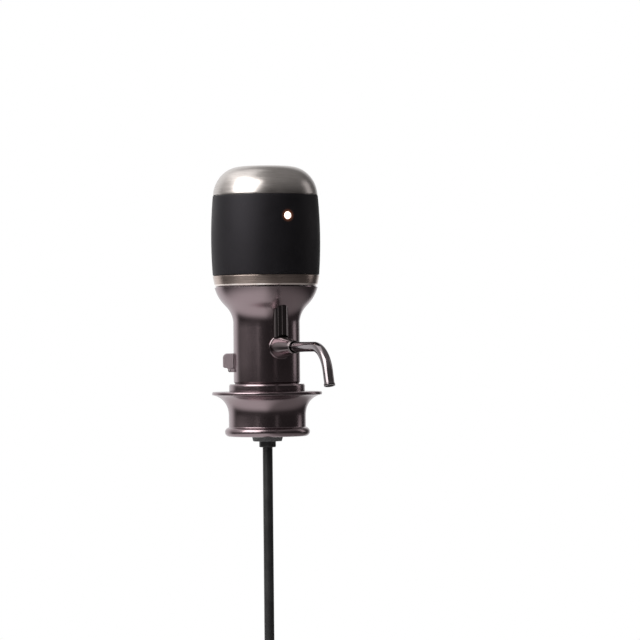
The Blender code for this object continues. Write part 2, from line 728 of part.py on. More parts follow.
def lever_lugs():
    """Guides for the two lugs moulded on the column for the lever's pin, and for their holes."""
    outline = [(LUG_ROOT_R - LEVER_PIVOT_R, LEVER_EYE_R)]
    outline += arc((0, 0), LEVER_EYE_R, 90, -90, 6)
    outline += [(LUG_ROOT_R - LEVER_PIVOT_R, -LEVER_EYE_R)]
    bm = bmesh.new()
    for side in (-1, 1):
        near = side * (LEVER_W / 2 + GAP)
        add_plate(bm, outline, near, near + side * LUG_T)
    lugs = link("lug_guide", bm)
    reach = LEVER_W / 2 + GAP + LUG_T + OVERRUN
    holes = turned(
        "lug_hole_cutter", rod_outline(LEVER_PIN_R + GAP, -reach, reach),
        steps=SMALL_STEPS, places=[Matrix.Rotation(math.pi / 2, 4, "Y")],
    )
    carry(pivot("lug_seat", lever_frame()), lugs, holes)
    return lugs, holes


def make_collar_nut():
    low = FLANGE_TOP_Z + GAP
    turned("collar_nut", chamfered_tube(NUT_R, COLUMN_R + GAP, low, low + NUT_H), GUNMETAL, SKIN_STEPS)


# Base: the collar over the neck, its stopper and the dip tube
def make_base_collar():
    flange_z = FLANGE_TOP_Z - FLANGE_T
    bead_z = BEAD_R - COLLAR_DEPTH
    flare_end = (COLLAR_R, flange_z - FLARE_DEPTH)
    socket_hole_r = SOCKET_R + GAP
    outline = [
        (socket_hole_r, SPIGOT_TOP_Z), (SPIGOT_R, SPIGOT_TOP_Z), (SPIGOT_R, ROOF_TOP_Z),
        (COLUMN_R, ROOF_TOP_Z), (COLUMN_R, FLANGE_TOP_Z), (FLANGE_R - EDGE, FLANGE_TOP_Z),
        (FLANGE_R, FLANGE_TOP_Z - EDGE), (FLANGE_R, flange_z + EDGE), (FLANGE_R - EDGE, flange_z),
    ]
    outline += flare((FLARE_START_R, flange_z), flare_end, FLARE_HANDLE_SHARES, 6)
    outline += arc((COLLAR_R, bead_z), BEAD_R, 90, -90, 5)
    outline += [
        (SKIRT_BORE_R, -COLLAR_DEPTH), (SKIRT_BORE_R, ROOF_UNDER_Z), (socket_hole_r, ROOF_UNDER_Z),
    ]
    turned("base_collar", outline, GUNMETAL, SKIN_STEPS)


def make_neck_stopper():
    """A silicone plug with sealing lips under a flat seal that rests on the lip."""
    bore_r = SOCKET_R + GAP
    outline = [(bore_r, SEAT_T), (SEAT_R, SEAT_T), (SEAT_R, 0), (STOPPER_R, 0)]
    for lip in range(STOPPER_LIPS):
        lip_z = -STOPPER_LIP_DROP - lip * STOPPER_LIP_PITCH
        outline += [
            (STOPPER_R, lip_z), (STOPPER_LIP_R, lip_z - STOPPER_LIP_T),
            (STOPPER_R, lip_z - STOPPER_LIP_T - STOPPER_LIP_RISE),
        ]
    outline += [(STOPPER_R - STOPPER_NOSE_TAPER, -STOPPER_DEPTH), (bore_r, -STOPPER_DEPTH)]
    turned("neck_stopper", outline, SILICONE, CORE_STEPS)


def make_dip_parts():
    bore_r = DIP_TUBE_R + GAP
    turned("dip_socket", tube_outline(SOCKET_R, bore_r, -SOCKET_DEPTH, SOCKET_RISE), BLACK_PLASTIC)
    tube = tube_outline(DIP_TUBE_R, DIP_TUBE_BORE_R, -DIP_TUBE_REACH, DIP_TUBE_INSERT)
    turned("dip_tube", tube, BLACK_PLASTIC, SMALL_STEPS)


# Wine path inside the column
def make_flow_block():
    block = turned("flow_block", rod_outline(BLOCK_R, BLOCK_Z, BLOCK_TOP_Z), WHITE_PLASTIC)
    riser = turned(
        "riser_cutter", rod_outline(FLOW_BORE_R, BLOCK_Z - OVERRUN, HUB_Z + FLOW_BORE_R),
        steps=SMALL_STEPS, places=[Matrix.Rotation(FACET_ROLL, 4, "Z")],
    )
    corner = -FLOW_BORE_R * FLOW_CORNER_SHARE
    cross = turned(
        "cross_cutter", rod_outline(FLOW_BORE_R, corner, BLOCK_R + OVERRUN),
        steps=SMALL_STEPS, places=[outward(HUB_Z)],
    )
    combine(block, riser, "DIFFERENCE")
    combine(block, cross, "DIFFERENCE")


def make_flow_fittings():
    nozzle_start = BLOCK_R - NOZZLE_L
    nozzle = [
        (NOZZLE_BORE_R, nozzle_start), (FLOW_BORE_R - GAP, nozzle_start),
        (FLOW_BORE_R - GAP, BLOCK_R - GAP), (NOZZLE_BORE_R, BLOCK_R - GAP),
    ]
    turned("aeration_nozzle", nozzle, GREY_PLASTIC, SMALL_STEPS, [outward(HUB_Z)])
    low = BLOCK_Z + GAP
    valve = tube_outline(FLOW_BORE_R - GAP, VALVE_BORE_R, low, low + VALVE_H)
    turned("check_valve", valve, SILICONE, SMALL_STEPS)


# Spout hub, duct and spout
def make_hub():
    """A cone on a thin saddle ring; a stub behind it goes through the column's wall."""
    bezel = turned(
        "hub_bezel", tube_outline(BEZEL_R, HUB_STUB_R + GAP, COLUMN_BORE_R, HUB_ROOT + OVERRUN),
        DARK_CHROME, CORE_STEPS, [outward(HUB_Z)],
    )
    saddle = turned(
        "saddle_guide",
        tube_outline(HUB_ROOT - GAP, COLUMN_R + GAP, HUB_Z - BEZEL_R - OVERRUN, HUB_Z + BEZEL_R + OVERRUN),
        steps=SKIN_STEPS,
    )
    combine(bezel, saddle, "INTERSECT")

    cone = [
        (0, COLUMN_BORE_R), (HUB_BASE_R, COLUMN_BORE_R), (HUB_BASE_R, HUB_ROOT + HUB_FOOT),
        (HUB_MOUTH_R, HUB_REACH - EDGE), (HUB_MOUTH_R - EDGE, HUB_REACH), (0, HUB_REACH),
    ]
    hub = turned("spout_hub", cone, DARK_CHROME, CORE_STEPS, [outward(HUB_Z)])
    clearance = turned(
        "hub_seat_cutter",
        rod_outline(HUB_ROOT, HUB_Z - HUB_BASE_R - OVERRUN, HUB_Z + HUB_BASE_R + OVERRUN),
        steps=SKIN_STEPS,
    )
    stub = turned(
        "stub_guide", rod_outline(HUB_STUB_R, HUB_STUB_START, HUB_ROOT + OVERRUN),
        steps=CORE_STEPS, places=[outward(HUB_Z)],
    )
    groove_start = HUB_REACH - O_RING_SINK
    bore = [
        (0, HUB_STUB_START - OVERRUN), (HUB_BORE_R, HUB_STUB_START - OVERRUN),
        (HUB_BORE_R, groove_start), (HUB_BORE_R + O_RING_GROOVE, groove_start),
        (HUB_BORE_R + O_RING_GROOVE, groove_start + O_RING_GROOVE_W),
        (HUB_BORE_R, groove_start + O_RING_GROOVE_W),
        (HUB_BORE_R, HUB_REACH + OVERRUN), (0, HUB_REACH + OVERRUN),
    ]
    bore_cutter = turned("hub_bore_cutter", bore, steps=CORE_STEPS, places=[outward(HUB_Z)])
    combine(hub, clearance, "DIFFERENCE")
    combine(hub, stub, "UNION")
    combine(hub, bore_cutter, "DIFFERENCE")

    ring_r = HUB_BORE_R + O_RING_WIRE_R
    ring_centre = (ring_r, groove_start + O_RING_GROOVE_W / 2)
    section = arc(ring_centre, O_RING_WIRE_R, 0, 360, 6)[:-1]
    turned("spout_o_ring", section, SILICONE, SMALL_STEPS, [outward(HUB_Z)])


def make_air_duct():
    """A half-round duct up the column that runs out into the bell, open at its back."""
    place = Matrix.Translation((0, -COLUMN_R, 0))
    rib = turned("air_duct_rib", rod_outline(DUCT_R, HUB_Z, DUCT_TOP_Z), DARK_CHROME, CORE_STEPS, [place])
    wall = [(0, HUB_Z - OVERRUN), (COLUMN_R + GAP, HUB_Z - OVERRUN)]
    wall += bell_curve(BELL_R + GAP, COLUMN_R + GAP, BELL_TOP_Z, BELL_FOOT_Z, 8)[::-1]
    wall += [(0, BELL_TOP_Z)]
    wall_cutter = turned("duct_seat_cutter", wall, steps=SKIN_STEPS)
    bezel_cutter = turned(
        "duct_foot_cutter", rod_outline(BEZEL_R + GAP, 0, COLUMN_R + DUCT_R + OVERRUN),
        steps=CORE_STEPS, places=[outward(HUB_Z)],
    )
    channel_z = DUCT_PORT_Z - DUCT_CHANNEL_R / 2
    channel = turned(
        "duct_channel_cutter", rod_outline(DUCT_CHANNEL_R, channel_z, channel_z + DUCT_CHANNEL_H),
        steps=SMALL_STEPS, places=[place],
    )
    for cutter in (wall_cutter, bezel_cutter, channel):
        combine(rib, cutter, "DIFFERENCE")

    start = Vector((0, -NIPPLE_OFFSET, NIPPLE_Z - GAP))
    end = Vector((0, -(COLUMN_BORE_R - GAP), DUCT_PORT_Z))
    low = start.z - HOSE_DROP
    mid_y = (start.y + end.y) / 2
    run = bezier((start.y, start.z), (start.y, low), (mid_y, end.z), (end.y, end.z), 9)
    soft_line("air_hose", [(0, y, z) for y, z in run], HOSE_R, SILICONE)


def spout_path():
    """Centre line of the spout as (distance from the axis, height) with its heading."""
    path = [(TUBE_START, HUB_Z, 0.0), (TUBE_STRAIGHT_END, HUB_Z, 0.0)]
    centre_z = HUB_Z - TUBE_BEND_R
    for step in range(1, TUBE_BEND_POINTS + 1):
        turn = TUBE_BEND * step / TUBE_BEND_POINTS
        reach = TUBE_STRAIGHT_END + TUBE_BEND_R * math.sin(turn)
        path.append((reach, centre_z + TUBE_BEND_R * math.cos(turn), turn))
    bend_reach, bend_z, turn = path[-1]
    for length in (TUBE_TIP_L - TUBE_LIP_L, TUBE_TIP_L - TUBE_LIP_L / 2, TUBE_TIP_L):
        path.append((bend_reach + length * math.cos(turn), bend_z - length * math.sin(turn), turn))
    return path


def make_spout_tube():
    """A thin-walled tube with a long bend and a rolled lip at its tip."""
    steps = SPOUT_STEPS
    path = spout_path()
    bm = bmesh.new()
    loops = []
    stations = [(place, TUBE_R) for place in path[:-2]]
    stations += [(path[-2], TUBE_LIP_R), (path[-1], TUBE_LIP_R)]
    stations += [(place, TUBE_BORE_R) for place in reversed(path)]
    for (reach, height, turn), radius in stations:
        ring = []
        for step in range(steps):
            angle = 2 * math.pi * step / steps
            across, up = radius * math.cos(angle), radius * math.sin(angle)
            ring.append(bm.verts.new((across, -(reach + up * math.sin(turn)), height + up * math.cos(turn))))
        loops.append(ring)
    for ring, following in zip(loops, loops[1:] + loops[:1]):
        for step in range(steps):
            after = (step + 1) % steps
            bm.faces.new((ring[step], ring[after], following[after], following[step]))
    tube = link("spout_tube", bm, DARK_CHROME)
    ring = turned(
        "outlet_ring", chamfered_tube(HUB_MOUTH_R, HUB_BORE_R, RING_START, RING_START + RING_T),
        SILVER, CORE_STEPS, [outward(HUB_Z)],
    )
    axis = pivot("spout_axis", Matrix.Translation((0, -RING_START, HUB_Z)))
    carry_at(axis, tube, ring)


# Vent lever
def lever_frame():
    """The lever's hinge: X along its pin, -Y outwards, Z up."""
    return (
        Matrix.Rotation(LEVER_TURN, 4, "Z")
        @ Matrix.Translation((0, -LEVER_PIVOT_R, LEVER_PIVOT_Z))
    )


def add_plate(bm, outline, low_x, high_x):
    """Extrude an outline of (outward, height) points, seen along the hinge pin."""
    near = [bm.verts.new((low_x, -out, height)) for out, height in outline]
    face = bm.faces.new(near)
    made = bmesh.ops.extrude_face_region(bm, geom=[face])["geom"]
    verts = [item for item in made if isinstance(item, bmesh.types.BMVert)]
    bmesh.ops.translate(bm, vec=(high_x - low_x, 0, 0), verts=verts)


def make_vent_lever():
    top = LEVER_TOP_Z - LEVER_PIVOT_Z
    outer = LEVER_OUTER_R - LEVER_PIVOT_R
    inner = LEVER_INNER_R - LEVER_PIVOT_R
    heel = LEVER_HEEL_Z - LEVER_PIVOT_Z
    corner = LEVER_CORNER_R
    outline = [(inner, 0), (inner, top)]
    outline += arc((outer - corner, top - corner), corner, 90, 0, 4)
    outline += arc((outer - corner, heel + corner), corner, 0, -90, 4)
    outline += arc((0, 0), LEVER_EYE_R, 40, -160, 6)
    bm = bmesh.new()
    add_plate(bm, outline, -LEVER_W / 2, LEVER_W / 2)
    lever = link("vent_lever", bm, GREY_PLASTIC)

    across = Matrix.Rotation(math.pi / 2, 4, "Y")
    half_pin = LEVER_W / 2 + GAP + LUG_T
    bore = turned(
        "lever_bore_cutter", rod_outline(LEVER_PIN_R + GAP, -half_pin, half_pin),
        steps=SMALL_STEPS, places=[across],
    )
    pad_place = Matrix.Translation((0, LEVER_PIVOT_R, VENT_Z - LEVER_PIVOT_Z)) @ Matrix.Rotation(
        math.pi / 2, 4, "X"
    )
    pad_start = COLUMN_R + GAP
    pocket = turned(
        "pad_pocket_cutter",
        rod_outline(PAD_R + GAP, pad_start - OVERRUN, pad_start + PAD_T + GAP),
        steps=SMALL_STEPS, places=[pad_place],
    )
    combine(lever, bore, "DIFFERENCE")
    combine(lever, pocket, "DIFFERENCE")
    pad = turned(
        "vent_pad", rod_outline(PAD_R, pad_start, pad_start + PAD_T),
        SILICONE, SMALL_STEPS, [pad_place],
    )

    pin = turned("lever_pin", rod_outline(LEVER_PIN_R, -half_pin, half_pin), STEEL, SMALL_STEPS, [across])
    axis = pivot("lever_axis", lever_frame())
    carry(axis, lever, pad, bore, pocket)
    carry(pivot("lever_seat", lever_frame()), pin)


# Battery pack
def make_battery_holder():
    """A spool: floor and top discs on a tube that holds the motor, with fins between the cells."""
    outline = [
        (HOLDER_FLOOR_BORE_R, FLOOR_Z), (HOLDER_FLOOR_R, FLOOR_Z), (HOLDER_FLOOR_R, FLOOR_TOP_Z),
        (CORE_R, FLOOR_TOP_Z), (CORE_R, HOLDER_TOP_Z), (HOLDER_TOP_R, HOLDER_TOP_Z),
        (HOLDER_TOP_R, HOLDER_END_Z), (CORE_BORE_R, HOLDER_END_Z), (CORE_BORE_R, FLOOR_TOP_Z),
        (HOLDER_FLOOR_BORE_R, FLOOR_TOP_Z),
    ]
    holder = turned("battery_holder", outline, BLACK_PLASTIC)
    bm = bmesh.new()
    sunk = (HOLDER_FLOOR_T + HOLDER_TOP_T) / 4
    root = (CORE_R + CORE_BORE_R) / 2
    size = (FIN_R - root, FIN_T, HOLDER_TOP_Z - FLOOR_TOP_Z + 2 * sunk)
    middle = ((FIN_R + root) / 2, 0, (HOLDER_TOP_Z + FLOOR_TOP_Z) / 2)
    for place in round_the_axis(0, CELLS, math.pi / 6):
        made = bmesh.ops.create_cube(bm, size=1)["verts"]
        bmesh.ops.scale(bm, vec=size, verts=made)
        bmesh.ops.translate(bm, vec=middle, verts=made)
        bmesh.ops.transform(bm, matrix=place, verts=made)
    combine(holder, link("fin_guide", bm), "UNION")
    holes = turned(
        "holder_screw_cutter",
        rod_outline(HOLDER_SCREW_R + GAP, FLOOR_Z - OVERRUN, FLOOR_TOP_Z + OVERRUN),
        steps=SMALL_STEPS, places=screw_places(HOLDER_SCREW_RING_R),
    )
    combine(holder, holes, "DIFFERENCE")


def make_cells():
    """AAA cells, every second one upside down as they are wired in series."""
    body_h = CELL_H - CELL_NUB_H
    outline = [
        (0, 0), (CELL_R - EDGE, 0), (CELL_R, EDGE), (CELL_R, body_h - EDGE), (CELL_R - EDGE, body_h),
        (CELL_NUB_R, body_h), (CELL_NUB_R, CELL_H), (0, CELL_H),
    ]
    flip = Matrix.Translation((0, 0, CELL_H)) @ Matrix.Rotation(math.pi, 4, "X")
    for index, place in enumerate(round_the_axis(CELL_RING_R, CELLS)):
        turn = flip if index % 2 else Matrix()
        stand = place @ Matrix.Translation((0, 0, CELL_Z)) @ turn
        turned("battery_" + str(index + 1), outline, CELL_JACKET, SMALL_STEPS, [stand])


def make_contacts():
    """Ring boards over and under the cells; the lower one carries their sprung contacts."""
    bore_r = FIN_R + GAP
    edge_r = CELL_RING_R + CONTACT_R
    lower = turned(
        "contact_ring_lower", tube_outline(edge_r, bore_r, CONTACT_Z, CONTACT_Z + CONTACT_T), STEEL
    )
    stud_z = CONTACT_Z + CONTACT_T / 2
    stud = [
        (0, stud_z), (CONTACT_SPRING_R, stud_z), (CONTACT_SPRING_R, CONTACT_Z + CONTACT_T),
        (CONTACT_SPRING_TIP_R, CELL_Z - GAP), (0, CELL_Z - GAP),
    ]
    springs = turned(
        "contact_spring_guide", stud, steps=TINY_STEPS, places=round_the_axis(CELL_RING_R, CELLS)
    )
    heads = turned(
        "screw_head_cutter",
        rod_outline(SCREW_HEAD_R + GAP, CONTACT_Z - OVERRUN, CONTACT_Z + OVERRUN),
        steps=SMALL_STEPS, places=screw_places(HOLDER_SCREW_RING_R),
    )
    combine(lower, springs, "UNION")
    combine(lower, heads, "DIFFERENCE")
    upper = tube_outline(edge_r, bore_r, CONTACT_TOP_Z, CONTACT_TOP_Z + CONTACT_T)
    turned("contact_ring_upper", upper, STEEL)


def screw_outline(shank_r, head_r, head_z, length):
    """A screw that points down, with its head's underside at head_z."""
    return [
        (0, head_z - length), (shank_r, head_z - length), (shank_r, head_z), (head_r, head_z),
        (head_r, head_z + SCREW_HEAD_H), (0, head_z + SCREW_HEAD_H),
    ]


def make_holder_screws():
    outline = screw_outline(HOLDER_SCREW_R, SCREW_HEAD_R, FLOOR_TOP_Z + GAP, HOLDER_SCREW_L)
    for index, place in enumerate(screw_places(HOLDER_SCREW_RING_R)):
        turned("holder_screw_" + str(index + 1), outline, STEEL, SMALL_STEPS, [place])


# Light, board and switch
def make_led():
    foot = CONTACT_Z + CONTACT_T + GAP
    height = CONTACT_TOP_Z - GAP - foot
    size = (LED_BOARD_W, LED_BOARD_T, height)
    centre = (0, -(LED_BOARD_R - LED_BOARD_T / 2), foot + height / 2)
    box("led_board", size, centre, BOARD_GREEN)
    back, tip = LED_BOARD_R + GAP, SLEEVE_BORE_R - GAP
    outline = [
        (0, back), (LED_R, back), (LED_R, tip - LED_R / 2),
        (LED_R * LED_TIP_SHARE, tip - LED_R / 6), (0, tip),
    ]
    turned("indicator_led", outline, LENS_WHITE, SMALL_STEPS, [outward(LED_Z)])


def make_board_and_switch():
    turned("circuit_board", rod_outline(CORE_BORE_R - GAP, BOARD_Z, BOARD_Z + BOARD_T), BOARD_GREEN)
    switch = box(
        "power_switch", (SWITCH_W, SWITCH_W, SWITCH_H), (0, 0, SWITCH_Z + SWITCH_H / 2), BLACK_PLASTIC
    )
    bore_z = SWITCH_TOP_Z - PLUNGER_IN - BUTTON_PRESS - GAP
    bore = turned(
        "switch_bore_cutter", rod_outline(PLUNGER_R + GAP, bore_z, SWITCH_TOP_Z + OVERRUN),
        steps=SMALL_STEPS,
    )
    combine(switch, bore, "DIFFERENCE")
    plunger = turned(
        "switch_plunger", rod_outline(PLUNGER_R, SWITCH_TOP_Z - PLUNGER_IN, PLUNGER_TOP_Z),
        WHITE_PLASTIC, SMALL_STEPS,
    )
    carry_at(pivot("plunger_axis", Matrix.Translation((0, 0, SWITCH_TOP_Z))), plunger)


def make_motor_leads():
    """Two leads from the board down to the motor's end cap, bowed a little by their slack."""
    low, high = MOTOR_CAP_TOP_Z + GAP, BOARD_Z - GAP
    for name, side in (("motor_lead_positive", -1), ("motor_lead_negative", 1)):
        run = []
        for step in range(LEAD_POINTS):
            share = step / (LEAD_POINTS - 1)
            bow = LEAD_SLACK * math.sin(math.pi * share)
            run.append((side * (LEAD_SPREAD + bow), 0, low + (high - low) * share))
        soft_line(name, run, LEAD_R, BLACK_PLASTIC)


# Motor and pump
def make_motor():
    bore_r = MOTOR_R - MOTOR_WALL
    floor_top = MOTOR_Z + MOTOR_FLOOR_T
    can = [
        (SHAFT_BORE_R, MOTOR_Z), (MOTOR_R, MOTOR_Z), (MOTOR_R, MOTOR_TOP_Z), (bore_r, MOTOR_TOP_Z),
        (bore_r, floor_top), (SHAFT_BORE_R, floor_top),
    ]
    turned("motor_can", can, STEEL)
    cap = tube_outline(MOTOR_R, SHAFT_BORE_R, MOTOR_CAP_Z, MOTOR_CAP_TOP_Z)
    turned("motor_end_cap", cap, WHITE_PLASTIC)
    rotor_z = MOTOR_Z + ROTOR_SINK
    magnet = tube_outline(bore_r - GAP, bore_r - GAP - MAGNET_T, rotor_z, rotor_z + ROTOR_H)
    turned("motor_magnet", magnet, MAGNET_GREY)
    rotor_outline = [
        (0, SHAFT_Z), (SHAFT_R, SHAFT_Z), (SHAFT_R, rotor_z), (ROTOR_R, rotor_z),
        (ROTOR_R, rotor_z + ROTOR_H), (SHAFT_R, rotor_z + ROTOR_H), (SHAFT_R, SHAFT_TOP_Z),
        (0, SHAFT_TOP_Z),
    ]
    rotor = turned("motor_rotor", rotor_outline, COPPER, CORE_STEPS)
    floor_z = ECCENTRIC_Z + ECCENTRIC_FLOOR_T
    disc = [
        (0, ECCENTRIC_Z), (ECCENTRIC_R, ECCENTRIC_Z), (ECCENTRIC_R, ECCENTRIC_Z + ECCENTRIC_T),
        (SHAFT_BORE_R, ECCENTRIC_Z + ECCENTRIC_T), (SHAFT_BORE_R, floor_z), (0, floor_z),
    ]
    eccentric = turned("drive_eccentric", disc, WHITE_PLASTIC)
    crank = turned(
        "crank_guide",
        rod_outline(CRANK_R, ECCENTRIC_Z - CRANK_H, ECCENTRIC_Z + ECCENTRIC_FLOOR_T / 2),
        steps=SMALL_STEPS, places=[Matrix.Translation((CRANK_OFFSET, 0, 0))],
    )
    combine(eccentric, crank, "UNION")
    carry_at(pivot("rotor_axis", Matrix.Translation((0, 0, MOTOR_Z))), rotor, eccentric)


def pump_screw_holes(name, low, high):
    return turned(
        name, rod_outline(PUMP_SCREW_R + GAP, low, high),
        steps=SMALL_STEPS, places=screw_places(PUMP_SCREW_RING_R),
    )


def make_pump():
    housing = turned("pump_housing", tube_outline(PUMP_R, PUMP_BORE_R, PUMP_Z, PUMP_TOP_Z), WHITE_PLASTIC)
    head_z = PUMP_HEAD_Z - GAP
    screw_top = head_z + PUMP_SCREW_L
    blind = pump_screw_holes("housing_screw_cutter", PUMP_Z - OVERRUN, screw_top + GAP)
    combine(housing, blind, "DIFFERENCE")

    plate = turned(
        "valve_plate", rod_outline(PUMP_R, VALVE_PLATE_Z, VALVE_PLATE_Z + VALVE_PLATE_T), GREY_PLASTIC
    )
    valves = turned(
        "valve_cutter", rod_outline(VALVE_R, VALVE_PLATE_Z - OVERRUN, PUMP_Z + OVERRUN),
        steps=SMALL_STEPS, places=screw_places(CUP_RING_R),
    )
    through = pump_screw_holes("pump_screw_cutter", PUMP_HEAD_Z - OVERRUN, PUMP_Z + OVERRUN)
    combine(plate, valves, "DIFFERENCE")
    combine(plate, through, "DIFFERENCE")

    head = turned("pump_head", rod_outline(PUMP_R, PUMP_HEAD_Z, PUMP_HEAD_Z + PUMP_HEAD_T), WHITE_PLASTIC)
    spot = Matrix.Translation((0, -NIPPLE_OFFSET, 0)) @ Matrix.Rotation(FACET_ROLL, 4, "Z")
    nipple = turned(
        "nipple_guide", rod_outline(NIPPLE_R, NIPPLE_Z, PUMP_HEAD_Z + PUMP_HEAD_T / 2),
        steps=SMALL_STEPS, places=[spot],
    )
    nipple_bore = turned(
        "nipple_cutter", rod_outline(NIPPLE_BORE_R, NIPPLE_Z - OVERRUN, PUMP_HEAD_Z + PUMP_HEAD_T + OVERRUN),
        steps=SMALL_STEPS, places=[spot],
    )
    combine(head, nipple, "UNION")
    combine(head, nipple_bore, "DIFFERENCE")
    combine(head, through, "DIFFERENCE")

    screws = [
        (0, head_z - SCREW_HEAD_H), (PUMP_SCREW_HEAD_R, head_z - SCREW_HEAD_H), (PUMP_SCREW_HEAD_R, head_z),
        (PUMP_SCREW_R, head_z), (PUMP_SCREW_R, screw_top), (0, screw_top),
    ]
    for index, place in enumerate(screw_places(PUMP_SCREW_RING_R)):
        turned("pump_screw_" + str(index + 1), screws, STEEL, SMALL_STEPS, [place])

    sheet_r = PUMP_BORE_R - GAP
    diaphragm = turned(
        "diaphragm", rod_outline(sheet_r, DIAPHRAGM_Z, DIAPHRAGM_Z + DIAPHRAGM_T), SILICONE
    )
    cups = turned(
        "cup_guide",
        rod_outline(CUP_R, DIAPHRAGM_Z + DIAPHRAGM_T / 2, DIAPHRAGM_Z + DIAPHRAGM_T + CUP_H),
        steps=SMALL_STEPS, places=screw_places(CUP_RING_R),
    )
    combine(diaphragm, cups, "UNION")
    wobble = [
        (WOBBLE_BORE_R, WOBBLE_Z), (WOBBLE_R, WOBBLE_Z), (WOBBLE_R, WOBBLE_Z + WOBBLE_T),
        (WOBBLE_HUB_R, WOBBLE_Z + WOBBLE_T), (WOBBLE_HUB_R, WOBBLE_Z + WOBBLE_T + WOBBLE_HUB_H),
        (WOBBLE_BORE_R, WOBBLE_Z + WOBBLE_T + WOBBLE_HUB_H),
    ]
    turned("wobble_plate", wobble, GREY_PLASTIC)


def main():
    for obj in list(bpy.data.objects):
        bpy.data.objects.remove(obj, do_unlink=True)
    make_top_dome()
    make_grip_sleeve()
    make_led_lens()
    make_button_guide()
    make_push_button()
    make_button_spring()
    make_band_ring()
    make_lower_housing()
    make_collar_nut()
    make_base_collar()
    make_neck_stopper()
    make_dip_parts()
    make_flow_block()
    make_flow_fittings()
    make_hub()
    make_air_duct()
    make_spout_tube()
    make_vent_lever()
    make_battery_holder()
    make_cells()
    make_contacts()
    make_holder_screws()
    make_led()
    make_board_and_switch()
    make_motor_leads()
    make_motor()
    make_pump()


main()
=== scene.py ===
# Electric wine aerator: its visible surfaces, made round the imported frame.
# Lengths are in metres. The neck's lip plane is at height zero and the spout points to -Y.

import math

import bpy
from mathutils import Matrix, Quaternion, Vector


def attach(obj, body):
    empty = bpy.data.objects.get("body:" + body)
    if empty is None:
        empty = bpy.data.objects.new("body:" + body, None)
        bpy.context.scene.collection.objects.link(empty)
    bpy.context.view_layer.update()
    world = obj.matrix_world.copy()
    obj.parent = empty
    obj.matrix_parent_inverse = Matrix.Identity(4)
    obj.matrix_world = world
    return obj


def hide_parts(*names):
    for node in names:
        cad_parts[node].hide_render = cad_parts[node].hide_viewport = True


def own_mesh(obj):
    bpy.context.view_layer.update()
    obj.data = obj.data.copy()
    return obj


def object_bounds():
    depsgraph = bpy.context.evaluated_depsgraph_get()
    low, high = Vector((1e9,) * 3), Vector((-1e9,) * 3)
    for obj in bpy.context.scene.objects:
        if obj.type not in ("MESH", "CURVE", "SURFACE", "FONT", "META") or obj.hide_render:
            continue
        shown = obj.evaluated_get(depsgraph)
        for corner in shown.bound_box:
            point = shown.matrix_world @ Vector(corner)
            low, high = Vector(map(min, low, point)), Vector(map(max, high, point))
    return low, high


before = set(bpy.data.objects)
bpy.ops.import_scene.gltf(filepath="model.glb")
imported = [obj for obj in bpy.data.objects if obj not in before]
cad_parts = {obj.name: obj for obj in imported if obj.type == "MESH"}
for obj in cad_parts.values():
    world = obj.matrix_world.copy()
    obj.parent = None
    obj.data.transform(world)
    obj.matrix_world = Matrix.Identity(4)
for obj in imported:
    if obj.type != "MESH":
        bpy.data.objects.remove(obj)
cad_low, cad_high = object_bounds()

MM = 0.001


# The view: a long lens at the height of the spout's tip, standing to the left of the spout.
# The object leans a hair to the left at its top, which is the lens's roll.
VIEW_TURN = math.radians(-24.2)
VIEW_DISTANCE = 1.61
VIEW_HEIGHT = 23.7 * MM
VIEW_ROLL = math.radians(-0.55)
AIM_RIGHT = 27 * MM
AIM_HEIGHT = 38.8 * MM
PICTURE_ANGLE = math.radians(11.44)

towards_view = Vector((math.sin(VIEW_TURN), -math.cos(VIEW_TURN), 0))
view_right = Vector((math.cos(VIEW_TURN), math.sin(VIEW_TURN), 0))
eye = towards_view * VIEW_DISTANCE + Vector((0, 0, VIEW_HEIGHT))
aim = view_right * AIM_RIGHT + Vector((0, 0, AIM_HEIGHT))
look = (aim - eye).to_track_quat("-Z", "Y") @ Quaternion((0, 0, 1), VIEW_ROLL)
bpy.ops.object.camera_add(location=eye, rotation=look.to_euler())
camera = bpy.context.active_object
camera.data.angle = PICTURE_ANGLE
bpy.context.scene.camera = camera
bpy.context.scene.view_settings.view_transform = "Standard"


# The light: one large softbox to the upper left, a weak one behind the right side, and one above
# and behind the left side. Each is aimed at the middle of the body.
BODY_MIDDLE = Vector((0, 0, 60 * MM))


def softbox(name, turn, height, distance, size, power, tint):
    """An area lamp at a turn from the view, in degrees, and a height, aimed at the body."""
    angle = VIEW_TURN + math.radians(turn)
    place = Vector((math.sin(angle) * distance, -math.cos(angle) * distance, height))
    facing = (BODY_MIDDLE - place).to_track_quat("-Z", "Y")
    bpy.ops.object.light_add(type="AREA", location=place, rotation=facing.to_euler())
    lamp = bpy.context.active_object
    lamp.name = name
    lamp.data.shape = "RECTANGLE"
    lamp.data.size, lamp.data.size_y = size
    lamp.data.energy = power
    lamp.data.color = tint
    lamp.visible_camera = False


softbox(
    "key_softbox", turn=-49, height=0.62, distance=0.8, size=(0.9, 0.9), power=10.0, tint=(1.0, 0.985, 0.97)
)
softbox("rim_softbox", turn=114, height=0.3, distance=1.0, size=(0.3, 0.7), power=0.5, tint=(1.0, 0.96, 0.96))
softbox("top_softbox", turn=-115, height=1.1, distance=0.6, size=(0.9, 0.9), power=2.0, tint=(1.0, 1.0, 1.0))


